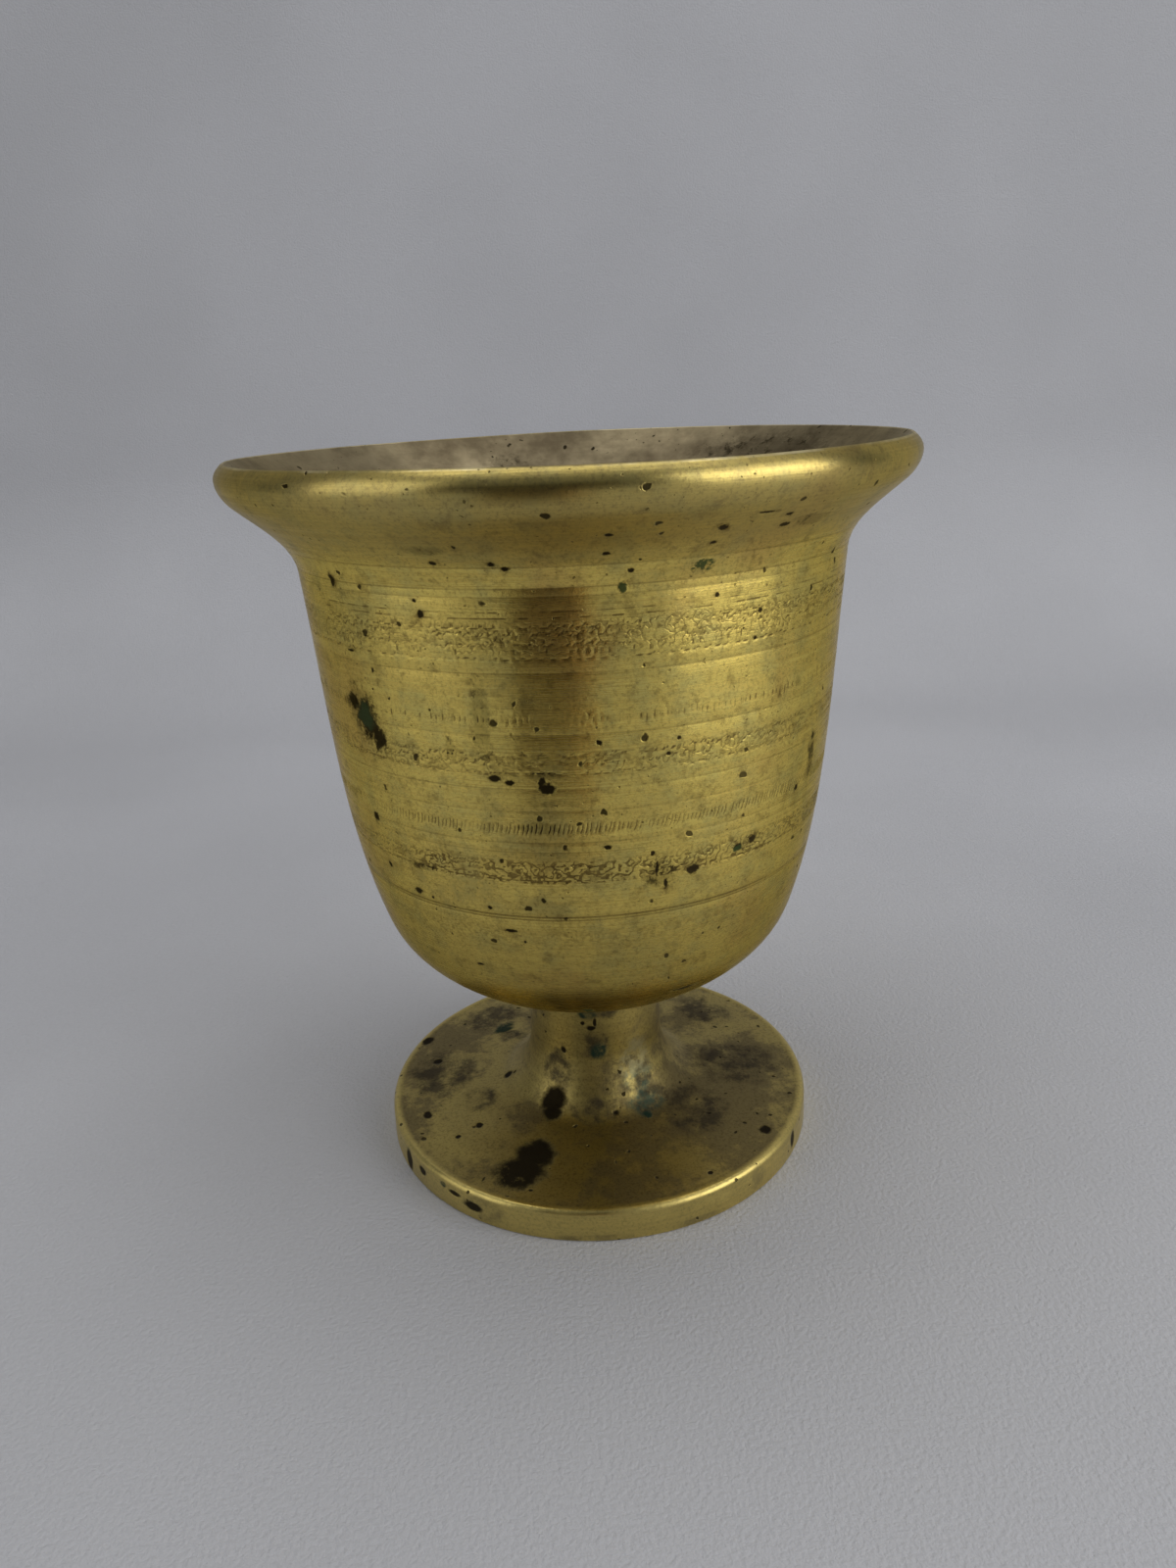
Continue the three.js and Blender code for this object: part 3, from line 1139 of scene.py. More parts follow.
        soot = net.ramp(handled, 0.0, 0.75)
        ringed = net.times(halo, net.plus(0.12, net.times(soot, 0.4)))
        colour = net.blend(ringed, colour, self.engraved)
        smudge = net.times(dull, net.plus(0.3, net.times(soot, 0.5)))
        colour = net.blend(smudge, colour, self.dirt)
        curl = net.times(curls.outputs["Mask"], finish.attribute("scribble"))
        curl = net.times(curl, net.ramp(murk, 0.34, 0.6, 0.45, 1.0))
        line = net.times(finish.attribute("lines"), net.ramp(murk, 0.3, 0.6, 0.4, 0.9))
        scored = net.most(net.most(net.ramp(cut, 0.2, 0.8), curl), line)
        grime = net.times(scored, net.ramp(murk, 0.3, 0.6, 0.55, 0.85))
        colour = net.blend(grime, colour, self.engraved)
        pits = net.most(black, net.times(specks.outputs[0], 0.9))
        pits = net.most(pits, net.times(dust.outputs[0], 0.6))
        packed = net.times(scored, dull)
        colour = finish.coat(colour, (packed, 0.9, self.dirt), (pits, 0.97, self.dirt))
        crust = net.times(green, net.ramp(soot, 0.1, 0.9, 0.95, 0.15))
        colour = net.blend(crust, colour, self.verdigris)
        finish.wire("Base Color", colour)

        fouled = net.most(pits, green)
        fouled = net.most(fouled, net.times(smudge, 0.7))
        rough = self.polish
        for mask, share in (
            (clouds.outputs["Mask"], 0.08), (lines.outputs["Dark"], 0.06), (inner, 0.2), (lip, 0.05),
            (fouled, 0.4),
        ):
            rough = net.plus(rough, net.times(mask, share), clamp=True)
        finish.wire("Roughness", rough)
        metal = net.minus(1.0, net.times(crust, 0.5), clamp=True)
        metal = net.times(metal, net.minus(1.0, net.times(inner, 0.25)))
        finish.wire("Metallic", metal)

        tool = net.times(lines.outputs["Height"], self.tool_marks)
        dents = net.times(net.noise(place, 90.0).outputs[0], 0.8)
        sunk = net.times(net.most(pits, net.times(curl, 0.6)), -0.5)
        raised = net.times(green, 0.4)
        height = net.plus(net.plus(tool, dents), net.plus(sunk, raised))
        pitted = net.times(net.minus(grain, 0.5), 0.16)
        finish.bump(net.plus(height, pitted), self.relief)
        finish.brushed(self.brushing)
        finish.set(Specular_IOR_Level=0.25, Specular_Tint=self.edge_tint)
        return finish.material


@dataclass(frozen=True)
class FootBrass:
    """Worn brass with brown-grey tarnish, black stains and verdigris, and painted highlights on its rim and
    stem.
    """

    clean: Colour = (0.60, 0.47, 0.135)
    tarnish: Colour = (0.20, 0.155, 0.065)
    grey: Colour = (0.062, 0.050, 0.032)
    dirt: Colour = (0.022, 0.016, 0.009)
    verdigris: Colour = (0.012, 0.035, 0.021)
    # Pale brass flecks on the stem's lit side: a painted highlight with pale patina.
    painted_highlight_brass: Colour = (0.36, 0.32, 0.16)
    haze: Colour = (0.055, 0.088, 0.062)
    haze_top: float = 0.0135
    haze_low: float = 0.0095
    # Pale brass for the rim: rubbed wear with a painted highlight.
    rubbed_edge_and_highlight: Colour = (0.82, 0.66, 0.24)
    edge_fineness: float = 420.0
    edge_wander: float = 0.95
    polish: float = 0.42
    tool_marks: float = 0.3
    relief: float = 0.00012
    brushing: float = 0.3
    rim_from: float = 0.0333
    rim_full: float = 0.0346
    black_spots: tuple[Blemish, ...] = blemishes(
        (-26.0, 28.6, 5.6, 4.3, 1.8, 4.2), (-25, 24.4, 5.9, 3.6, 1.8, 3.8, 6.0),
        (-32.5, 13.6, 8.0, 2.5, 2.8, 2.2), (-30, 15.4, 7.0, 1.9, 1.2, 1.8),
        (-83, 15.5, 7.0, 0.9, 1.0, 1.0), (-54, 24.0, 5.9, 0.8, 1.0, 0.7),
        (-70, 30.0, 5.5, 1.1, 1.0, 0.8), (10, 14.6, 6.8, 0.7, 0.7, 0.6), (55, 31.6, 5.4, 1.2, 1.0, 1.1),
        (60, 35.0, 2.9, 0.9, 1.7), (-61, 35.0, 2.2, 1.4, 2.2), (-53, 35.0, 3.0, 1.2, 0.8),
        (-34, 35.0, 2.4, 1.9, 0.9), (-40, 35.0, 3.2, 1.4, 0.5), (3, 35.0, 0.5, 0.3, 0.3),
        (-54, 28.0, 5.6, 0.5, 0.8, 0.6), (-112, 33.1, 5.3, 1.5, 1.0, 1.1),
        (-100, 28.6, 5.6, 0.9, 1.0, 0.9), (-4, 10.9, 20.6, 0.8, 0.45), (-1, 10.9, 21.6, 0.35, 0.9),
        (4, 10.9, 24.0, 1.1, 0.3), (-11, 10.9, 21.5, 0.4, 0.4), (-30, 11.2, 16.0, 0.5, 0.7),
        (30, 32.0, 5.4, 0.5, 0.8, 0.4), (-20, 31.5, 5.4, 0.4, 0.8, 0.3),
        (160, 30.0, 5.5, 1.8, 1.0, 2.2), (205, 22.0, 6.0, 1.2, 1.0, 1.8), (110, 35.0, 3.0, 1.0, 1.4),
        (180, 35.0, 2.0, 1.8, 1.2),
    )
    smudges: tuple[Blemish, ...] = blemishes(
        (-92, 27.0, 5.8, 7.5, 2.5, 6.0), (-70, 21.0, 6.2, 3.5, 2.5, 3.0),
        (-135, 27.0, 5.8, 6.0, 2.5, 5.0), (49, 20.0, 6.3, 6.5, 2.5, 6.5),
        (90, 24.0, 6.0, 7.0, 2.5, 7.5), (131, 27.0, 5.8, 6.0, 2.5, 5.0),
        (-126, 18.7, 6.4, 2.5, 2.5, 3.0), (-31, 35.0, 2.6, 4.2, 2.4), (-2, 35.0, 0.6, 9.0, 0.7),
        (22, 35.0, 0.8, 5.0, 0.6), (42, 35.0, 3.0, 1.8, 2.2), (32, 11.3, 10.5, 4.0, 5.4, 2.0),
        (36, 14.6, 7.4, 4.2, 2.2, 3.4), (-36, 11.2, 11.5, 3.2, 4.6, 2.0),
        (-5, 14.5, 7.6, 3.5, 2.2, 2.6), (0, 10.9, 18.4, 2.0, 3.4), (8, 10.9, 24.0, 3.0, 2.0),
        (175, 25.0, 6.0, 5.0, 2.5, 5.0),
    )
    green_spots: tuple[Blemish, ...] = blemishes(
        (1, 11.0, 16.2, 1.5, 1.9), (-7, 10.9, 23.2, 1.6, 1.1), (28, 16.4, 6.9, 0.9, 0.9, 1.0),
        (-44, 35.0, 3.6, 0.8, 0.6), (-131, 22.2, 6.0, 2.6, 1.2, 1.6),
    )

    # Flecked spots on the stem's lit side: pale patina with a painted highlight.
    pale_patina_and_highlight_spots: tuple[Blemish, ...] = blemishes(
        (34, 11.6, 12.6, 3.6, 6.0, 2.6), (32, 14.8, 7.6, 3.8, 2.0, 3.2),
    )

    def maps(self) -> tuple[StainMap, StainMap, StainMap, StainMap]:
        """Lists the maps of stains.

        Returns:
            The maps of black, smudged and green stains, and of pale patina spots with a painted highlight.
        """
        return (
            StainMap("black_spots", self.black_spots),
            StainMap("smudges", self.smudges),
            StainMap("green_spots", self.green_spots),
            StainMap("pale_patina_and_highlight_spots", self.pale_patina_and_highlight_spots),
        )

    def build(self, effects: SurfaceEffects) -> bpy.types.Material:
        """Builds the material.

        Args:
            effects: The shared effects.

        Returns:
            The material.
        """
        finish = Finish("aged_foot_brass", effects, self.edge_fineness, self.edge_wander)
        net, place = finish.net, finish.place
        lines = finish.use(effects.turning, Vector=place, Spacing=0.5, Broken=0.85)
        clouds = finish.use(effects.patina, Vector=place, Patch=0.016, Cover=0.72)
        specks = finish.use(effects.speckle, Vector=place, Cell=0.002, Amount=0.72)
        black, dull, green, pale = (finish.stains(stain_map) for stain_map in self.maps())

        parts = net.add("ShaderNodeSeparateXYZ", {0: place})
        level = net.add("ShaderNodeCombineXYZ", {0: parts.outputs[0], 1: parts.outputs[1]}).outputs[0]
        # The rim is rubbed and carries a painted highlight: less tarnish and a paler colour all round the
        # edge.
        rim = net.ramp(net.length(level), self.rim_from, self.rim_full)
        handled = net.minus(1.0, net.times(rim, 0.92))

        tarnished = net.ramp(clouds.outputs["Mask"], 0.0, 1.0, 0.38, 0.92)
        colour = net.blend(net.times(tarnished, handled), self.clean, self.tarnish)
        blotch = net.noise(place, 260.0, 5.0, 0.7).outputs[0]
        smudge = net.times(dull, net.ramp(blotch, 0.36, 0.6, 0.15, 1.0))
        grain = net.noise(place, 2400.0, 2.0, 0.7).outputs[0]
        colour = finish.coat(
            colour,
            (lines.outputs["Dark"], 0.25, self.tarnish),
            (smudge, 0.85, self.grey),
            (net.ramp(grain, 0.45, 0.72), 0.4, self.dirt),
        )
        # Painted highlight with pale patina on the stem's lit side, turning to teal haze lower down.
        flaked = net.ramp(net.noise(place, 620.0, 4.0, 0.65).outputs[0], 0.4, 0.62, 0.1, 0.7)
        low_down = net.ramp(parts.outputs[2], self.haze_top, self.haze_low)
        highlight_and_haze = net.blend(low_down, self.painted_highlight_brass, self.haze)
        colour = net.blend(net.times(pale, flaked), colour, highlight_and_haze)
        island = net.ramp(blotch, 0.6, 0.72, 1.0, 0.5)
        pits = net.most(net.times(black, island), net.times(specks.outputs[0], 0.85))
        colour = finish.coat(colour, (rim, 0.32, self.rubbed_edge_and_highlight), (pits, 0.97, self.dirt))
        crust = net.times(green, net.ramp(blotch, 0.34, 0.55, 0.35, 0.95))
        colour = net.blend(crust, colour, self.verdigris)
        finish.wire("Base Color", colour)

        fouled = net.most(pits, crust)
        fouled = net.most(fouled, net.times(smudge, 0.55))
        base = net.plus(self.polish, net.times(clouds.outputs["Mask"], 0.12))
        base = net.minus(base, net.times(rim, 0.1))
        rough = net.plus(base, net.times(fouled, 0.3), clamp=True)
        finish.wire("Roughness", rough)
        metal = net.minus(1.0, net.times(crust, 0.4), clamp=True)
        finish.wire("Metallic", metal)

        dents = net.times(net.noise(place, 140.0, 3.0).outputs[0], 1.4)
        sunk = net.times(pits, -0.7)
        raised = net.times(crust, 0.5)
        tool = net.times(lines.outputs["Height"], self.tool_marks)
        height = net.plus(net.plus(tool, dents), net.plus(sunk, raised))
        pitted = net.times(net.minus(grain, 0.5), 0.2)
        finish.bump(net.plus(height, pitted), self.relief)
        finish.brushed(self.brushing)
        finish.set(Specular_IOR_Level=0.25)
        return finish.material


class DullMetal(Enum):
    """The small fittings' metals: name, clean colour, tarnish colour and roughness."""

    SOLDER = ("solder_grey", (0.20, 0.185, 0.135), (0.07, 0.075, 0.055), 0.55)
    RIVET = ("rivet_brass", (0.42, 0.31, 0.12), (0.14, 0.10, 0.055), 0.42)
    COPPER = ("washer_copper", (0.32, 0.145, 0.08), (0.11, 0.06, 0.045), 0.48)


@dataclass(frozen=True)
class FittingFinish:
    """The dull finish of a small fitting."""

    metal: DullMetal
    dirt: Colour = (0.03, 0.027, 0.02)
    relief: float = 0.00008

    def build(self, effects: SurfaceEffects) -> bpy.types.Material:
        """Builds the material.

        Args:
            effects: The shared effects.

        Returns:
            The material.
        """
        name, clean, tarnish, roughness = self.metal.value
        finish = Finish(name, effects)
        net, place = finish.net, finish.place
        clouds = finish.use(effects.patina, Vector=place, Patch=0.004, Cover=0.6)
        specks = finish.use(effects.speckle, Vector=place, Cell=0.0012, Amount=0.5)
        colour = net.blend(clouds.outputs["Mask"], clean, tarnish)
        finish.wire("Base Color", finish.coat(colour, (specks.outputs[0], 0.8, self.dirt)))
        rough = net.times(clouds.outputs["Mottle"], 0.3)
        finish.wire("Roughness", net.plus(rough, roughness - 0.12))
        finish.set(Metallic=1.0)
        height = net.minus(clouds.outputs["Mottle"], specks.outputs[0])
        finish.bump(height, self.relief)
        return finish.material


# ---- Pieces -------------------------------------------------------------------------------------


def settle(piece: bpy.types.Object, material: bpy.types.Material, node: str, slot: str) -> None:
    """Dresses a finished piece and ties it to the frame.

    Args:
        piece: The finished piece.
        material: Its finish.
        node: The CAD node that it stands for.
        slot: The record's material slot. Not used.
    """
    piece.data.materials.clear()
    piece.data.materials.append(material)
    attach(piece, ROOT_BODY)
    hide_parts(node)
    LOG.info("%s: %d faces, stands for %s", piece.name, len(piece.data.polygons), node)


@dataclass(frozen=True)
class Band:
    """A stretch of the wall that needs fine rings: its heights, columns and ring spacing."""

    low: float
    high: float
    columns: int = 1000
    row: float = 0.24


@dataclass(frozen=True)
class ScribbleZone:
    """A stretch of the wall with fine scribbled cuts: its heights, strength and soft edge."""

    low: float
    high: float
    strength: float
    soft: float = 0.25


@dataclass
class Bowl:
    """The cast and turned bowl: rounded bottom, tapering side, flared lip and engraved bands."""

    seat_height: float = 26.3
    seat_radius: float = 12.5
    seat_angle: float = 16.0
    bore_radius: float = 3.3
    haunch: Point = (32.2, 41.3)
    haunch_angle: float = 72.0
    neck: Point = (39.2, 94.5)
    neck_angle: float = 85.0
    lip_underside: Point = (46.8, 103.8)
    lip_underside_angle: float = 42.0
    lip_widest: Point = (48.6, 107.4)
    crest_height: float = 109.5
    crest_outer: Point = (47.5, 109.35)
    crest_middle: Point = (47.25, 109.5)
    crest_inner: Point = (47.0, 109.35)
    mouth_angle: float = 42.0
    inner_neck: Point = (36.2, 95.5)
    wall: float = 3.0
    floor_edge: Point = (9.5, 31.5)
    floor_angle: float = 8.0
    columns: int = 125
    plain_row: float = 1.3
    bands: tuple[Band, ...] = (
        Band(86.5, 92.9),
        Band(79.0, 80.0, row=0.3),
        Band(72.0, 75.8),
        Band(64.2, 66.1, 1500, 0.3),
        Band(57.0, 60.8),
    )
    scribed: tuple[Point, ...] = (
        (98.0, 0.025), (95.4, 0.03), (94.4, 0.02), (85.3, 0.025), (77.6, 0.02), (70.6, 0.025),
        (67.6, 0.02), (63.2, 0.025), (61.8, 0.02), (52.1, 0.045), (51.6, 0.045),
    )
    line_half_width: float = 0.16
    deep_line: float = 0.045
    # Rings from ridge_from up get ridge_side, which marks the crest for its painted highlight line.
    ridge_from: float = 109.2
    ridge_side: float = 0.75
    lip_drops: tuple[Point, ...] = (
        (-180, 0.10), (-120, 0.35), (-55, 0.45), (-16, 0.02), (25, 0.5), (70, 0.15), (125, 0.3),
        (180, 0.10),
    )
    lip_drop_from: float = 102.0
    lip_rows_from: float = 100.0
    lip_row: float = 0.5
    inner_row: float = 1.8
    scribe_clear: float = 0.352
    band_clear: float = 0.4
    ripple: float = 0.05
    ripple_from: float = 40.0
    scribbles: tuple[ScribbleZone, ...] = (
        ScribbleZone(87.5, 91.7, 0.5),
        ScribbleZone(72.2, 75.5, 0.6),
        ScribbleZone(57.2, 60.7, 0.95),
        ScribbleZone(47.6, 49.4, 0.3),
    )
    marks: list[MarkRow] = field(default_factory=lambda: [
        MarkRow("line_above_scroll", 92.6, 200, 1.22, 90, 0.0, 1.0, 0.6, 0.3, 0.03, 0.15, 0.02, 11),
        MarkRow("line_two_above_scroll", 92.0, 200, 1.22, 90, 0.0, 1.0, 0.6, 0.4, 0.03, 0.15, 0.02, 12),
        MarkRow("scroll_arches", 91.1, 120, 1.9, 90, 0.42, 1.0, 8, 0.1, 0.07, 0.17, 0.1, 13),
        MarkRow("scroll_waves", 90.2, 150, 1.5, 90, 0.3, 2.0, 20, 0.15, 0.07, 0.17, 0.2, 14),
        MarkRow("scroll_hatching", 89.6, 300, 0.55, 35, 0.1, 1.0, 60, 0.25, 0.06, 0.16, 0.6, 15),
        MarkRow("small_arches", 88.6, 170, 1.0, 90, -0.3, 1.0, 14, 0.15, 0.07, 0.17, 0.12, 16),
        MarkRow("border_strokes", 87.9, 260, 0.6, 4, 0.0, 1.0, 12, 0.4, 0.06, 0.16, 0.08, 17),
        MarkRow("border_dashes", 87.15, 170, 1.0, 90, 0.12, 1.0, 9, 0.1, 0.09, 0.19, 0.06, 18),
        MarkRow("faint_ticks", 79.5, 300, 0.8, 6, 0.0, 1.0, 5, 0.08, 0.06, 0.19, 0.06, 21),
        MarkRow("fine_squiggles", 75.0, 190, 1.0, 80, 0.2, 3.0, 30, 0.2, 0.06, 0.16, 0.2, 31),
        MarkRow("fine_loops", 74.0, 190, 1.0, 90, 0.22, 2.0, 24, 0.2, 0.06, 0.16, 0.22, 32),
        MarkRow("fine_border", 72.7, 175, 1.0, 90, 0.14, 1.0, 12, 0.12, 0.08, 0.18, 0.08, 33),
        MarkRow("rope_ticks", 65.15, 410, 1.25, 14, 0.05, 1.0, 4, 0.02, 0.09, 0.16, 0.03, 41),
        MarkRow("dense_arches", 60.1, 190, 1.0, 90, 0.25, 1.0, 16, 0.1, 0.07, 0.17, 0.15, 51),
        MarkRow("dense_squiggles", 59.3, 230, 0.9, 70, 0.2, 2.0, 34, 0.1, 0.07, 0.17, 0.22, 52),
        MarkRow("dense_dashes", 58.4, 200, 0.9, 90, 0.14, 1.0, 12, 0.1, 0.08, 0.18, 0.12, 53),
        MarkRow("dense_border", 57.6, 190, 1.0, 90, -0.12, 1.0, 9, 0.06, 0.09, 0.19, 0.08, 54),
    ])

    def outside(self) -> np.ndarray:
        """Draws the outer run, from the seat's edge to the crest.

        Returns:
            The points of the run.
        """
        seat = (self.seat_radius, self.seat_height)
        return join([
            sweep(seat, self.seat_angle, self.haunch, self.haunch_angle, 60),
            sweep(self.haunch, self.haunch_angle, self.neck, self.neck_angle, 160),
            sweep(self.neck, self.neck_angle, self.lip_underside, self.lip_underside_angle, 60),
            sweep(self.lip_underside, self.lip_underside_angle, self.lip_widest, 90, 30),
            sweep(self.lip_widest, 90, self.crest_outer, 140, 20),
        ])

    def inside(self) -> np.ndarray:
        """Draws the inner run, from the crest to the flat floor's edge.

        Returns:
            The points of the run.
        """
        offset = self.wall * direction(self.haunch_angle + 90)
        inner_haunch = (self.haunch[0] + offset[0], self.haunch[1] + offset[1])
        mouth, neck, haunch, floor = (
            180 + angle
            for angle in (self.mouth_angle, self.neck_angle, self.haunch_angle, self.floor_angle)
        )
        return join([
            sweep(self.crest_inner, mouth, self.inner_neck, neck, 60),
            sweep(self.inner_neck, neck, inner_haunch, haunch, 100),
            sweep(inner_haunch, haunch, self.floor_edge, floor, 60),
        ])

    def radius_at(self, height: float) -> float:
        """Returns the outer radius at a height."""
        run = self.outside()
        return float(np.interp(height, run[:, 1], run[:, 0]))

    def _outer_rings(self, mesh: TurnedMesh) -> None:
        """Adds the outer rings: fine in the engraved bands, coarse and scribed elsewhere.

        Args:
            mesh: The mesh to add them to.
        """
        run = self.outside()
        travelled = np.concatenate([[0.0], np.cumsum(np.hypot(*np.diff(run, axis=0).T))])
        upright = run[:, 1]
        lip_start = np.interp(self.lip_rows_from, upright, travelled)
        plain = np.interp(np.arange(0.0, travelled[-1], self.plain_row), travelled, upright)
        lip = np.interp(np.arange(lip_start, travelled[-1], self.lip_row), travelled, upright)
        heights = np.concatenate([plain[plain < self.lip_rows_from], lip, [upright[-1]]])
        rows = [(float(h), 0.0, self.columns) for h in heights]
        for height, depth in self.scribed:
            near = self.line_half_width
            rows = [row for row in rows if abs(row[0] - height) > self.scribe_clear]
            rows += [(height - near, 0.0, self.columns), (height, depth, self.columns)]
            rows.append((height + near, 0.0, self.columns))
        for band in self.bands:
            low, high = band.low - self.band_clear, band.high + self.band_clear
            rows = [row for row in rows if not low < row[0] < high]
            count = round((band.high - band.low) / band.row)
            fine = np.linspace(band.low, band.high, count + 1)
            rows += [(float(h), 0.0, band.columns) for h in fine]
        for height, depth, columns in sorted(rows):
            station = np.interp(height, upright, travelled)
            radius = np.interp(station, travelled, run[:, 0]) - depth
            side = 1.0 if height < self.ridge_from else self.ridge_side
            mesh.add(np.array([[radius, np.interp(station, travelled, upright)]]), columns, side)

    def _unevenness(
        self, azimuth: np.ndarray, radius: np.ndarray, height: np.ndarray, side: float
    ) -> tuple[np.ndarray, np.ndarray]:
        """Lowers and pulls in the lip a little here and there, as a hand-finished one is.

        Args:
            azimuth: Each vertex's angle round the axis, in radians.
            radius: Its radius in millimetres.
            height: Its height in millimetres.
            side: 1 on the outer side, 0 on the inner side.

        Returns:
            The new radii and heights.
        """
        knots = np.array(self.lip_drops)
        degrees = np.degrees((azimuth + math.pi) % (2 * math.pi) - math.pi)
        drop = np.interp(degrees, knots[:, 0], knots[:, 1])
        smooth = (
            0.28
            + 0.16 * np.cos(2 * azimuth - 0.9)
            + 0.08 * np.cos(3 * azimuth + 0.8)
            + 0.03 * np.cos(7 * azimuth)
        )
        drop = 0.5 * drop + 0.5 * smooth
        lip_height = self.crest_height - self.lip_drop_from
        share = np.clip((height - self.lip_drop_from) / lip_height, 0, 1)
        share = share * share * (3 - 2 * share)
        ripple = self.ripple * (1 + np.sin(5 * azimuth + 0.11 * height)) * (height > self.ripple_from)
        return radius - share * drop * 0.35 - ripple * side, height - share * drop

    def _scribble(self, piece: bpy.types.Object) -> None:
        """Keeps where the wall is scribbled and scribed, as two attributes.

        Args:
            piece: The bowl.
        """
        height = places(piece.data)[:, 2]
        share = np.zeros_like(height)
        for zone in self.scribbles:
            above = np.clip((height - zone.low) / zone.soft, 0, 1)
            below = np.clip((zone.high - height) / zone.soft, 0, 1)
            share = np.maximum(share, zone.strength * above * below)
        line = np.zeros_like(height)
        for level, depth in self.scribed:
            near = np.clip(1 - np.abs(height - level) / self.line_half_width, 0, 1)
            line = np.maximum(line, near * min(1.0, depth / self.deep_line))
        for name, values in (("scribble", share), ("lines", line)):
            piece.data.attributes.new(name, "FLOAT", "POINT").data.foreach_set("value", values)

    def build(self, effects: SurfaceEffects) -> bpy.types.Object:
        """Builds, engraves and dresses the bowl.

        Args:
            effects: The shared effects.

        Returns:
            The piece.
        """
        mesh = TurnedMesh("brass_bowl")
        seat = straight((self.bore_radius, self.seat_height), (self.seat_radius, self.seat_height), 5)
        floor = straight(self.floor_edge, (self.bore_radius, self.floor_edge[1]), 4)
        mesh.add(seat, self.columns)
        self._outer_rings(mesh)
        mesh.add(np.array([self.crest_middle]), self.columns, 0.5)
        mesh.add(resample(self.inside(), self.inner_row), self.columns, 0.0)
        mesh.add(floor, self.columns, 0.0)
        piece = mesh.build(self._unevenness)
        brass = BowlBrass()
        material = brass.build(effects)
        EngravingTree().apply(piece, self.marks, self.radius_at, material)
        self._scribble(piece)
        for stain_map in brass.maps():
            stain_map.paint(piece)
        settle(piece, material, "cup_bowl", "bowl_brass")
        return piece


@dataclass
class Pedestal:
    """The stem and disc foot in one casting, with the pocket and recess underneath."""

    radius: float = 35.0
    edge_height: float = 5.2
    edge_round: float = 0.9
    base_round: float = 0.4
    slope: float = 4.0
    stem_radius: float = 10.9
    stem_top: float = 26.2
    flare: float = 6.0
    flare_height: float = 9.0
    rest_width: float = 8.0
    recess_depth: float = 2.2
    recess_draft: float = 1.0
    pocket_radius: float = 8.0
    pocket_top: float = 7.0
    bore_radius: float = 3.3
    groove_radius: float = 33.2
    groove_depth: float = 0.09
    groove_half_width: float = 0.45
    sharp_angle: float = 40.0
    columns: int = 320

    def _top(self) -> np.ndarray:
        """Draws the run over the disc's edge, its sloping top, the flare and the stem.

        Returns:
            The points of the run.
        """
        edge_centre = (self.radius - self.edge_round, self.edge_height - self.edge_round)
        edge = arc(edge_centre, self.edge_round, 0, 90 - self.slope, 8)
        touch_radius = self.stem_radius + self.flare
        rise = (edge[-1][0] - touch_radius) * math.tan(math.radians(self.slope))
        touch = (touch_radius, edge[-1][1] + rise)
        flare_top = (self.stem_radius, touch[1] + self.flare_height)
        disc = straight(tuple(edge[-1]), touch, 44)
        off = np.abs(disc[:, 0] - self.groove_radius)
        disc[:, 1] -= self.groove_depth * np.clip(1 - off / self.groove_half_width, 0, 1)
        return join([
            edge,
            disc,
            sweep(touch, 180 - self.slope, flare_top, 90, 16),
            straight(flare_top, (self.stem_radius, self.stem_top), 16),
        ])

    def _unevenness(
        self, azimuth: np.ndarray, radius: np.ndarray, height: np.ndarray, side: float
    ) -> tuple[np.ndarray, np.ndarray]:
        """Gives the top of the disc slow dips and the stem a slight waver.

        Args:
            azimuth: Each vertex's angle round the axis, in radians.
            radius: Its radius in millimetres.
            height: Its height in millimetres.
            side: 1 on the outer side, 0 on the inner side.

        Returns:
            The new radii and heights.
        """
        on_disc = np.clip((radius - 14.0) / 6.0, 0, 1) * np.clip((34.4 - radius) / 2.0, 0, 1) * side
        slow = 0.06 * np.sin(3 * azimuth + 0.12 * radius)
        dip = 0.10 + slow + 0.04 * np.cos(8 * azimuth + 0.4 * radius)
        on_stem = np.clip((height - 8.0) / 4.0, 0, 1) * np.clip((25.5 - height) / 2.0, 0, 1) * side
        waver = 0.06 * (1 + np.sin(2 * azimuth + 0.5 * height))
        edge = 0.04 * (1 + np.sin(4 * azimuth + 1.0)) * (radius > 34.3) * side
        return radius - waver * on_stem - edge, height - dip * on_disc

    def build(self, effects: SurfaceEffects) -> bpy.types.Object:
        """Builds and dresses the foot.

        Args:
            effects: The shared effects.

        Returns:
            The piece.
        """
        rest_inner = self.radius - self.rest_width
        base_centre = (self.radius - self.base_round, self.base_round)
        pocket_edge = (self.pocket_radius, self.pocket_top)
        recess_centre = (self.pocket_radius, self.recess_depth)
        recess_edge = (rest_inner - self.recess_draft, self.recess_depth)
        mesh = TurnedMesh("disc_foot")
        columns = self.columns
        mesh.add(straight((self.bore_radius, self.pocket_top), pocket_edge, 3), columns, 0.0)
        mesh.add(straight(pocket_edge, recess_centre, 3), columns, 0.0)
        mesh.add(straight(recess_centre, recess_edge, 12), columns, 0.0)
        mesh.add(np.array([(rest_inner, 0.0)]), columns, 0.0)
        mesh.add(arc(base_centre, self.base_round, -90, 0, 5), columns, 0.0)
        mesh.add(self._top(), columns)
        mesh.add(np.array([(self.bore_radius, self.stem_top)]), columns, 0.0)
        piece = mesh.build(self._unevenness)
        piece.data.set_sharp_from_angle(angle=math.radians(self.sharp_angle))
        brass = FootBrass()
        for stain_map in brass.maps():
            stain_map.paint(piece)
        settle(piece, brass.build(effects), "pedestal_foot", "foot_brass")
        return piece


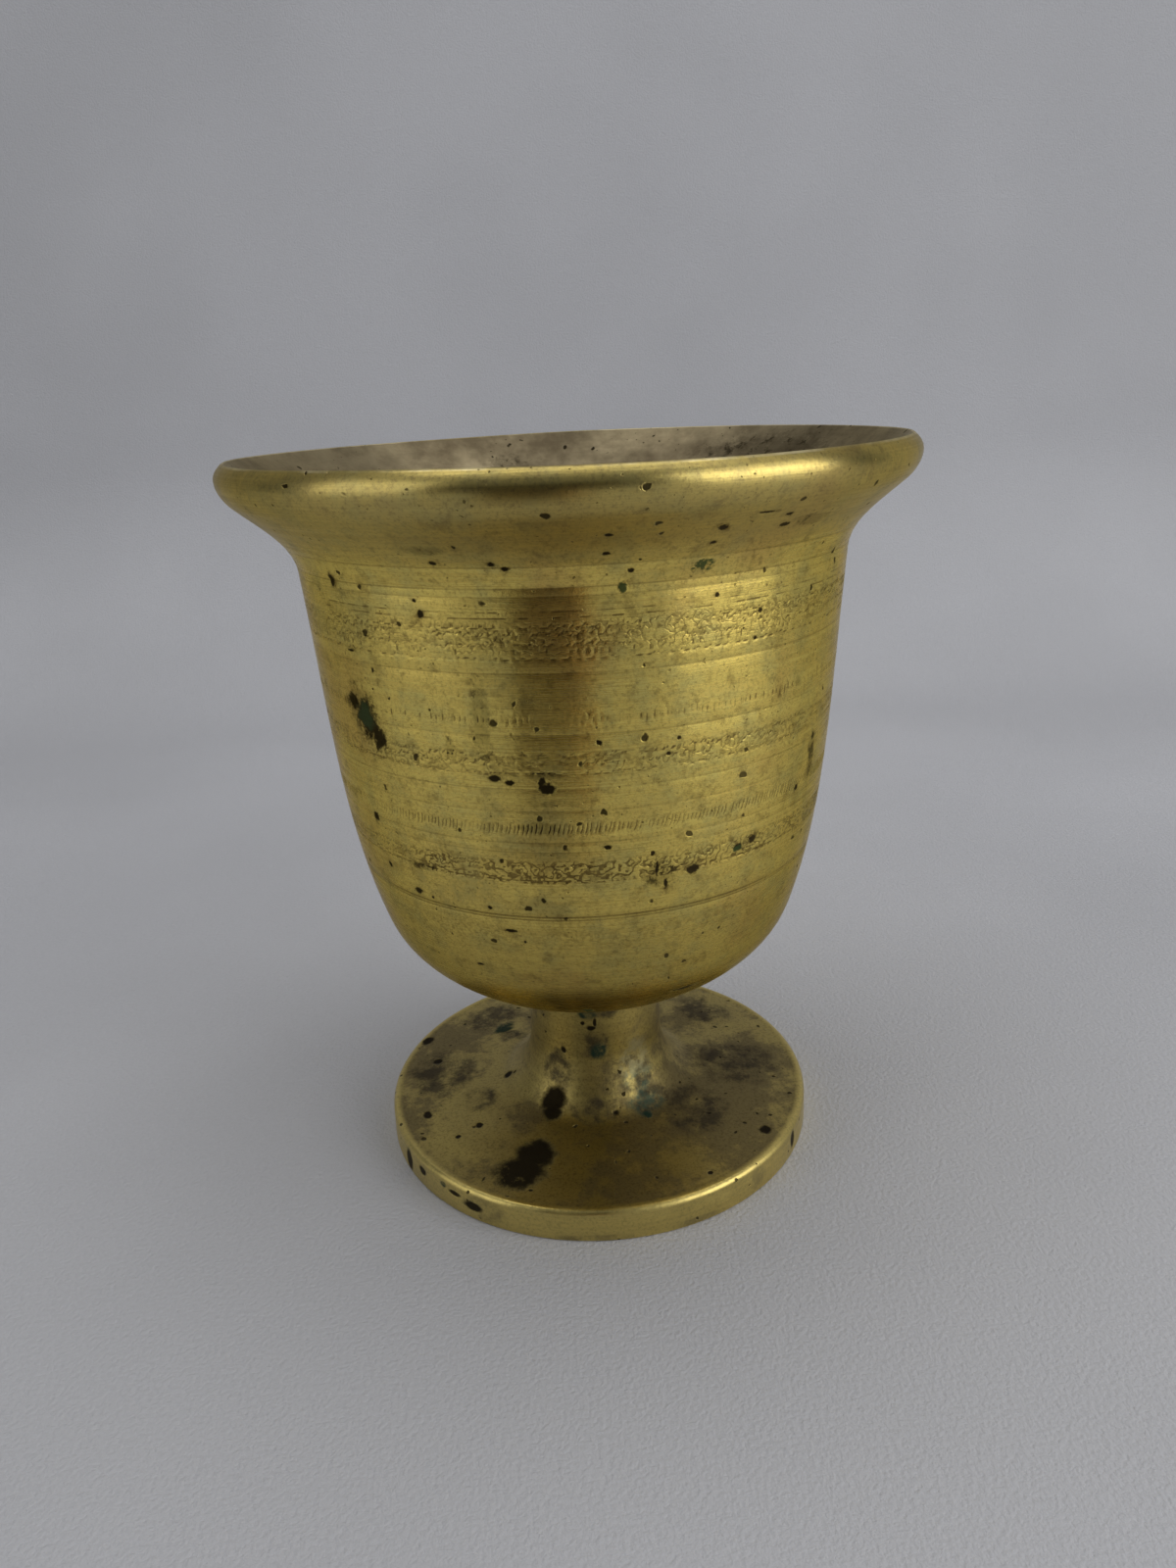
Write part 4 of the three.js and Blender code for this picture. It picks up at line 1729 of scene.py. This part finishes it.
@dataclass
class SolderJoint:
    """The ring of solder in the corner between the stem and the bowl."""

    inner: float = 11.0
    outer: float = 12.4
    top: float = 26.2
    columns: int = 128

    def _unevenness(
        self, azimuth: np.ndarray, radius: np.ndarray, height: np.ndarray, side: float
    ) -> tuple[np.ndarray, np.ndarray]:
        """Makes the solder's face uneven, as it sets, and leaves both of its edges.

        Args:
            azimuth: Each vertex's angle round the axis, in radians.
            radius: Its radius in millimetres.
            height: Its height in millimetres.
            side: 1 on the outer side, 0 on the inner side. Not used.

        Returns:
            The new radii and heights.
        """
        face = np.clip((radius - self.inner) * (self.top - height) * 3.0, 0, 1)
        lumps = 0.10 + 0.07 * np.sin(9 * azimuth) + 0.05 * np.cos(23 * azimuth + 1.0)
        return radius - face * lumps, height + face * lumps * 0.5

    def build(self, effects: SurfaceEffects) -> bpy.types.Object:
        """Builds and dresses the solder ring.

        Args:
            effects: The shared effects.

        Returns:
            The piece.
        """
        leg = self.outer - self.inner
        mesh = TurnedMesh("solder_ring")
        mesh.add(arc((self.outer, self.top - leg), leg, 180, 90, 8), self.columns)
        mesh.add(np.array([(self.inner, self.top)]), self.columns)
        piece = mesh.build(self._unevenness)
        settle(piece, FittingFinish(DullMetal.SOLDER).build(effects), "solder_fillet", "solder")
        return piece


@dataclass
class Fastening:
    """The rivet that ties the bowl to the foot, with its washer above and its rove below."""

    rivet_radius: float = 3.0
    bore_radius: float = 3.3
    floor_top: float = 31.5
    face_gap: float = 0.1
    washer_radius: float = 8.5
    washer_thickness: float = 1.0
    head_radius: float = 6.2
    head_height: float = 2.4
    rove_radius: float = 6.6
    rove_thickness: float = 1.2
    tail_radius: float = 4.8
    tail_height: float = 1.8
    pocket_top: float = 7.0
    columns: int = 96
    ring_wear: float = 0.18
    sharp_angle: float = 45.0
    blow_count: int = 14
    blow_tilts: tuple[float, ...] = (0.35, 0.7, 1.0)
    blow_seed: int = 7
    blow_from: float = 0.955
    blow_depth: float = 1.6

    def _ring(self, name: str, radius: float, bottom: float, top: float) -> bpy.types.Object:
        """Builds a washer with worn edges and a snipped rim that is slightly out of round.

        Args:
            name: The piece's name.
            radius: Its outer radius.
            bottom: Height of its lower face.
            top: Height of its upper face.

        Returns:
            The washer.
        """
        worn = self.ring_wear
        mesh = TurnedMesh(name)
        mesh.add(straight((self.bore_radius, bottom), (radius - worn, bottom), 3), self.columns)
        mesh.add(arc((radius - worn, bottom + worn), worn, -90, 0, 3), self.columns)
        mesh.add(arc((radius - worn, top - worn), worn, 0, 90, 3), self.columns)
        mesh.add(straight((radius - worn, top), (self.bore_radius, top), 6), self.columns)

        def snip(
            azimuth: np.ndarray, radii: np.ndarray, height: np.ndarray, _side: float
        ) -> tuple[np.ndarray, np.ndarray]:
            """Makes the radii waver towards the rim.

            Args:
                azimuth: Each vertex's angle round the axis, in radians.
                radii: Its radius in millimetres.
                height: Its height in millimetres.

            Returns:
                The new radii and the same heights.
            """
            outer = np.clip((radii - self.bore_radius) / (radius - self.bore_radius), 0, 1)
            waver = 0.12 + 0.08 * np.sin(3 * azimuth) + 0.04 * np.sin(11 * azimuth)
            return radii - outer * waver, height

        return mesh.build(snip)

    @staticmethod
    def _dome(radius: float, base: float, rise: float) -> np.ndarray:
        """Draws a dome from its top on the axis to its rim.

        Args:
            radius: Radius of its rim.
            base: Height of its rim.
            rise: How far its top lies above the rim.

        Returns:
            The points of the run.
        """
        angles = np.radians(np.linspace(90, 0, 11))
        run = np.column_stack([radius * np.cos(angles), base + rise * np.sin(angles)])
        run[0, 0] = 0.0
        return run

    def _rivet(self) -> bpy.types.Object:
        """Builds the rivet with a hammered head and a spread tail.

        Returns:
            The rivet.
        """
        head_bottom = self.floor_top + 2 * self.face_gap + self.washer_thickness
        tail_top = self.pocket_top - 2 * self.face_gap - self.rove_thickness
        shank = straight((self.rivet_radius, tail_top), (self.rivet_radius, head_bottom), 6)
        mesh = TurnedMesh("tie_rivet_hammered")
        mesh.on_axis = True
        mesh.add(self._dome(self.tail_radius, tail_top, -self.tail_height), self.columns)
        mesh.add(shank, self.columns, 0.0)
        mesh.add(self._dome(self.head_radius, head_bottom, self.head_height)[::-1], self.columns)
        rng = np.random.default_rng(self.blow_seed)
        turns = np.radians(rng.uniform(0, 360, self.blow_count))
        blows = list(zip(turns, rng.choice(self.blow_tilts, self.blow_count)))

        def hammer(
            azimuth: np.ndarray, radius: np.ndarray, height: np.ndarray, side: float
        ) -> tuple[np.ndarray, np.ndarray]:
            """Flattens the domes with hammer blows.

            Args:
                azimuth: Each vertex's angle round the axis, in radians.
                radius: Its radius in millimetres.
                height: Its height in millimetres.
                side: 0 on the shank.

            Returns:
                The new radii and heights.
            """
            if side == 0.0:
                return radius, height
            upper = height[0] > self.floor_top
            base = head_bottom if upper else tail_top
            rim = self.head_radius if upper else self.tail_radius
            tall = self.head_height if upper else self.tail_height
            rise = np.abs(height - base) / tall
            cutback = np.zeros_like(radius)
            for turn, tilt in blows:
                level = radius / rim * np.cos(azimuth - turn)
                facing = level * math.sin(tilt) + rise * math.cos(tilt)
                cutback = np.maximum(cutback, facing - self.blow_from)
            shrink = 1.0 - np.clip(cutback, 0, 0.1) * self.blow_depth
            return radius * shrink, base + (height - base) * shrink

        return mesh.build(hammer)

    def build(self, effects: SurfaceEffects) -> list[bpy.types.Object]:
        """Builds and dresses the three pieces.

        Args:
            effects: The shared effects.

        Returns:
            The rivet, the washer and the rove.
        """
        bottom = self.floor_top + self.face_gap
        top = self.pocket_top - self.face_gap
        washer_top = bottom + self.washer_thickness
        brass = FittingFinish(DullMetal.RIVET).build(effects)
        copper = FittingFinish(DullMetal.COPPER).build(effects)
        rivet = self._rivet()
        washer = self._ring("washer_under_head", self.washer_radius, bottom, washer_top)
        rove = self._ring("rove_over_tail", self.rove_radius, top - self.rove_thickness, top)
        for piece, material, node, slot in (
            (rivet, brass, "tie_rivet", "rivet_brass"),
            (washer, copper, "sealing_washer", "washer_copper"),
            (rove, brass, "tail_rove", "rivet_brass"),
        ):
            piece.data.set_sharp_from_angle(angle=math.radians(self.sharp_angle))
            settle(piece, material, node, slot)
        return [rivet, washer, rove]


# ---- Studio -------------------------------------------------------------------------------------


@dataclass(frozen=True)
class SoftLight:
    """A soft light: where it stands, what it aims at, its size in metres and its power."""

    name: str
    place: tuple[float, float, float]
    aim: tuple[float, float, float]
    size: tuple[float, float]
    power: float
    colour: Colour = (1.0, 1.0, 1.0)

    def build(self) -> bpy.types.Object:
        """Builds the light.

        Returns:
            The light.
        """
        lamp = bpy.data.lights.new(self.name, "AREA")
        lamp.shape = "RECTANGLE"
        lamp.size, lamp.size_y = self.size
        lamp.energy = self.power
        lamp.color = self.colour
        light = bpy.data.objects.new(self.name, lamp)
        turn = (Vector(self.aim) - Vector(self.place)).to_track_quat("-Z", "Y").to_matrix()
        light.matrix_world = Matrix.Translation(self.place) @ turn.to_4x4()
        bpy.context.scene.collection.objects.link(light)
        return light


@dataclass(frozen=True)
class Card:
    """A leaning card for reflections: its left and right sides, its heights and its colour."""

    name: str
    sides: tuple[float, float]
    heights: tuple[float, float]
    colour: Colour


@dataclass
class Studio:
    """The pale cloth, the cards, the soft lights and the camera."""

    cloth: Colour = (0.53, 0.53, 0.55)
    wall_distance: float = 0.33
    bend: float = 0.10
    half_width: float = 1.6
    front: float = 1.3
    wall_height: float = 1.3
    wall_lean: float = 0.12
    bend_steps: int = 16
    thread: Colour = (0.33, 0.33, 0.33)
    focal_pixels: float = 1139.0
    frame_height: int = 1600
    film: float = 36.0
    eye: tuple[float, float, float] = (-0.00017, -0.1652, 0.1164)
    pitch: float = 19.48
    yaw: float = 0.27
    roll: float = -2.68
    card_foot: float = -0.150
    card_top: float = -0.215
    card_height: float = 0.20
    cards: tuple[Card, ...] = (
        Card("dark_card", (-0.076, -0.002), (0.0, 0.08), (0.15, 0.115, 0.085)),
        Card("warm_card", (-0.002, 0.010), (0.0, 0.08), (0.48, 0.30, 0.16)),
        Card("upper_card", (-0.17, 0.055), (0.08, 0.20), (0.045, 0.04, 0.03)),
    )
    lights: tuple[SoftLight, ...] = (
        SoftLight("left_window", (-0.76, -0.36, 0.36), (0, 0, 0.05), (0.6, 0.8), 1.45),
        SoftLight("right_window", (0.74, -0.42, 0.38), (0, 0, 0.05), (0.75, 0.75), 4.4),
        SoftLight("ceiling", (0.0, 0.25, 1.2), (0, 0, 0), (1.2, 0.8), 6.6),
    )
    room_colour: tuple[float, float, float, float] = (0.85, 0.9, 1.0, 1.0)
    room_strength: float = 0.17

    def _cloth(self) -> None:
        """Lays the cloth over the table and up the wall behind it."""
        bend_start = self.wall_distance - self.bend
        run = [(-self.front, 0.0)]
        for angle in np.radians(np.linspace(0.0, 90.0, self.bend_steps + 1)):
            ahead, up = self.bend * math.sin(angle), self.bend * (1 - math.cos(angle))
            run.append((bend_start + ahead, up))
        run.append((self.wall_distance + self.wall_lean, self.wall_height))
        points = [(x, y, z) for y, z in run for x in (-self.half_width, self.half_width)]
        faces = [(2 * i, 2 * i + 1, 2 * i + 3, 2 * i + 2) for i in range(len(run) - 1)]
        mesh = bpy.data.meshes.new("pale_cloth")
        mesh.from_pydata(points, [], faces)
        mesh.shade_smooth()
        backdrop = bpy.data.objects.new("pale_cloth", mesh)
        bpy.context.scene.collection.objects.link(backdrop)
        material = bpy.data.materials.new("pale_cloth")
        material.use_nodes = True
        net = Net(material.node_tree)
        shader = material.node_tree.nodes["Principled BSDF"]
        place = net.add("ShaderNodeTexCoord").outputs["Object"]
        darker, lighter = (tuple(share * c for c in self.cloth) for share in (0.94, 1.05))
        tint = net.blend(net.ramp(net.noise(place, 6.0, 3.0).outputs[0], 0.35, 0.65), darker, lighter)
        fine = net.noise(place, 1500.0, 2.0, 0.6).outputs[0]
        tint = net.blend(net.times(fine, 0.3), tint, self.thread)
        material.node_tree.links.new(tint, shader.inputs["Base Color"])
        weave = net.add("ShaderNodeBump", {"Strength": 0.8, "Distance": 0.0003, "Height": fine})
        material.node_tree.links.new(weave.outputs[0], shader.inputs["Normal"])
        shader.inputs["Roughness"].default_value = 0.9
        mesh.materials.append(material)

    def _card_depth(self, height: float) -> float:
        """Returns how far forward the leaning cards stand at a height."""
        return self.card_foot + (self.card_top - self.card_foot) * height / self.card_height

    def _flags(self) -> None:
        """Stands dark and warm cards round the camera. Only reflections show them."""
        for plan in self.cards:
            (left, right), (low, high), name = plan.sides, plan.heights, plan.name
            foot, top = self._card_depth(low), self._card_depth(high)
            corners = [(left, foot, low), (right, foot, low), (right, top, high), (left, top, high)]
            mesh = bpy.data.meshes.new(name)
            mesh.from_pydata(corners, [], [(3, 2, 1, 0)])
            material = bpy.data.materials.new(name)
            material.use_nodes = True
            shader = material.node_tree.nodes["Principled BSDF"]
            shader.inputs["Base Color"].default_value = (*plan.colour, 1.0)
            shader.inputs["Roughness"].default_value = 0.95
            mesh.materials.append(material)
            card = bpy.data.objects.new(name, mesh)
            bpy.context.scene.collection.objects.link(card)
            card.visible_camera = False
            card.visible_shadow = False
            card.visible_diffuse = False

    def _lights(self) -> None:
        """Places the lights and sets the room's own light."""
        for light in self.lights:
            light.build()
        world = bpy.data.worlds.new("room")
        bpy.context.scene.world = world
        world.use_nodes = True
        sky = world.node_tree.nodes["Background"]
        sky.inputs["Color"].default_value = self.room_colour
        sky.inputs["Strength"].default_value = self.room_strength

    def _camera(self) -> None:
        """Places the camera."""
        pitch, yaw, roll = (math.radians(a) for a in (self.pitch, self.yaw, self.roll))
        level = math.cos(pitch)
        ahead = Vector((math.sin(yaw) * level, math.cos(yaw) * level, -math.sin(pitch)))
        right = Vector((math.cos(yaw), -math.sin(yaw), 0.0))
        above = right.cross(ahead)
        turned_right = math.cos(roll) * right + math.sin(roll) * above
        turned_above = -math.sin(roll) * right + math.cos(roll) * above
        lens = bpy.data.cameras.new("camera")
        lens.sensor_width = self.film
        lens.lens = self.focal_pixels * self.film / self.frame_height
        lens.clip_start = 0.01
        camera = bpy.data.objects.new("camera", lens)
        turn = Matrix((turned_right, turned_above, -ahead)).transposed()
        camera.matrix_world = Matrix.Translation(self.eye) @ turn.to_4x4()
        bpy.context.scene.collection.objects.link(camera)
        bpy.context.scene.camera = camera

    def build(self) -> None:
        """Builds the studio."""
        self._camera()
        self._cloth()
        self._flags()
        self._lights()
        bpy.context.scene.view_settings.view_transform = "Standard"
        LOG.info("studio ready")


def main() -> None:
    """Builds every piece in order."""
    logging.basicConfig(level=logging.INFO, format="%(name)s: %(message)s")
    Studio().build()
    effects = SurfaceEffects()
    Pedestal().build(effects)
    Bowl().build(effects)
    SolderJoint().build(effects)
    Fastening().build(effects)


if __name__ == "__main__":
    main()
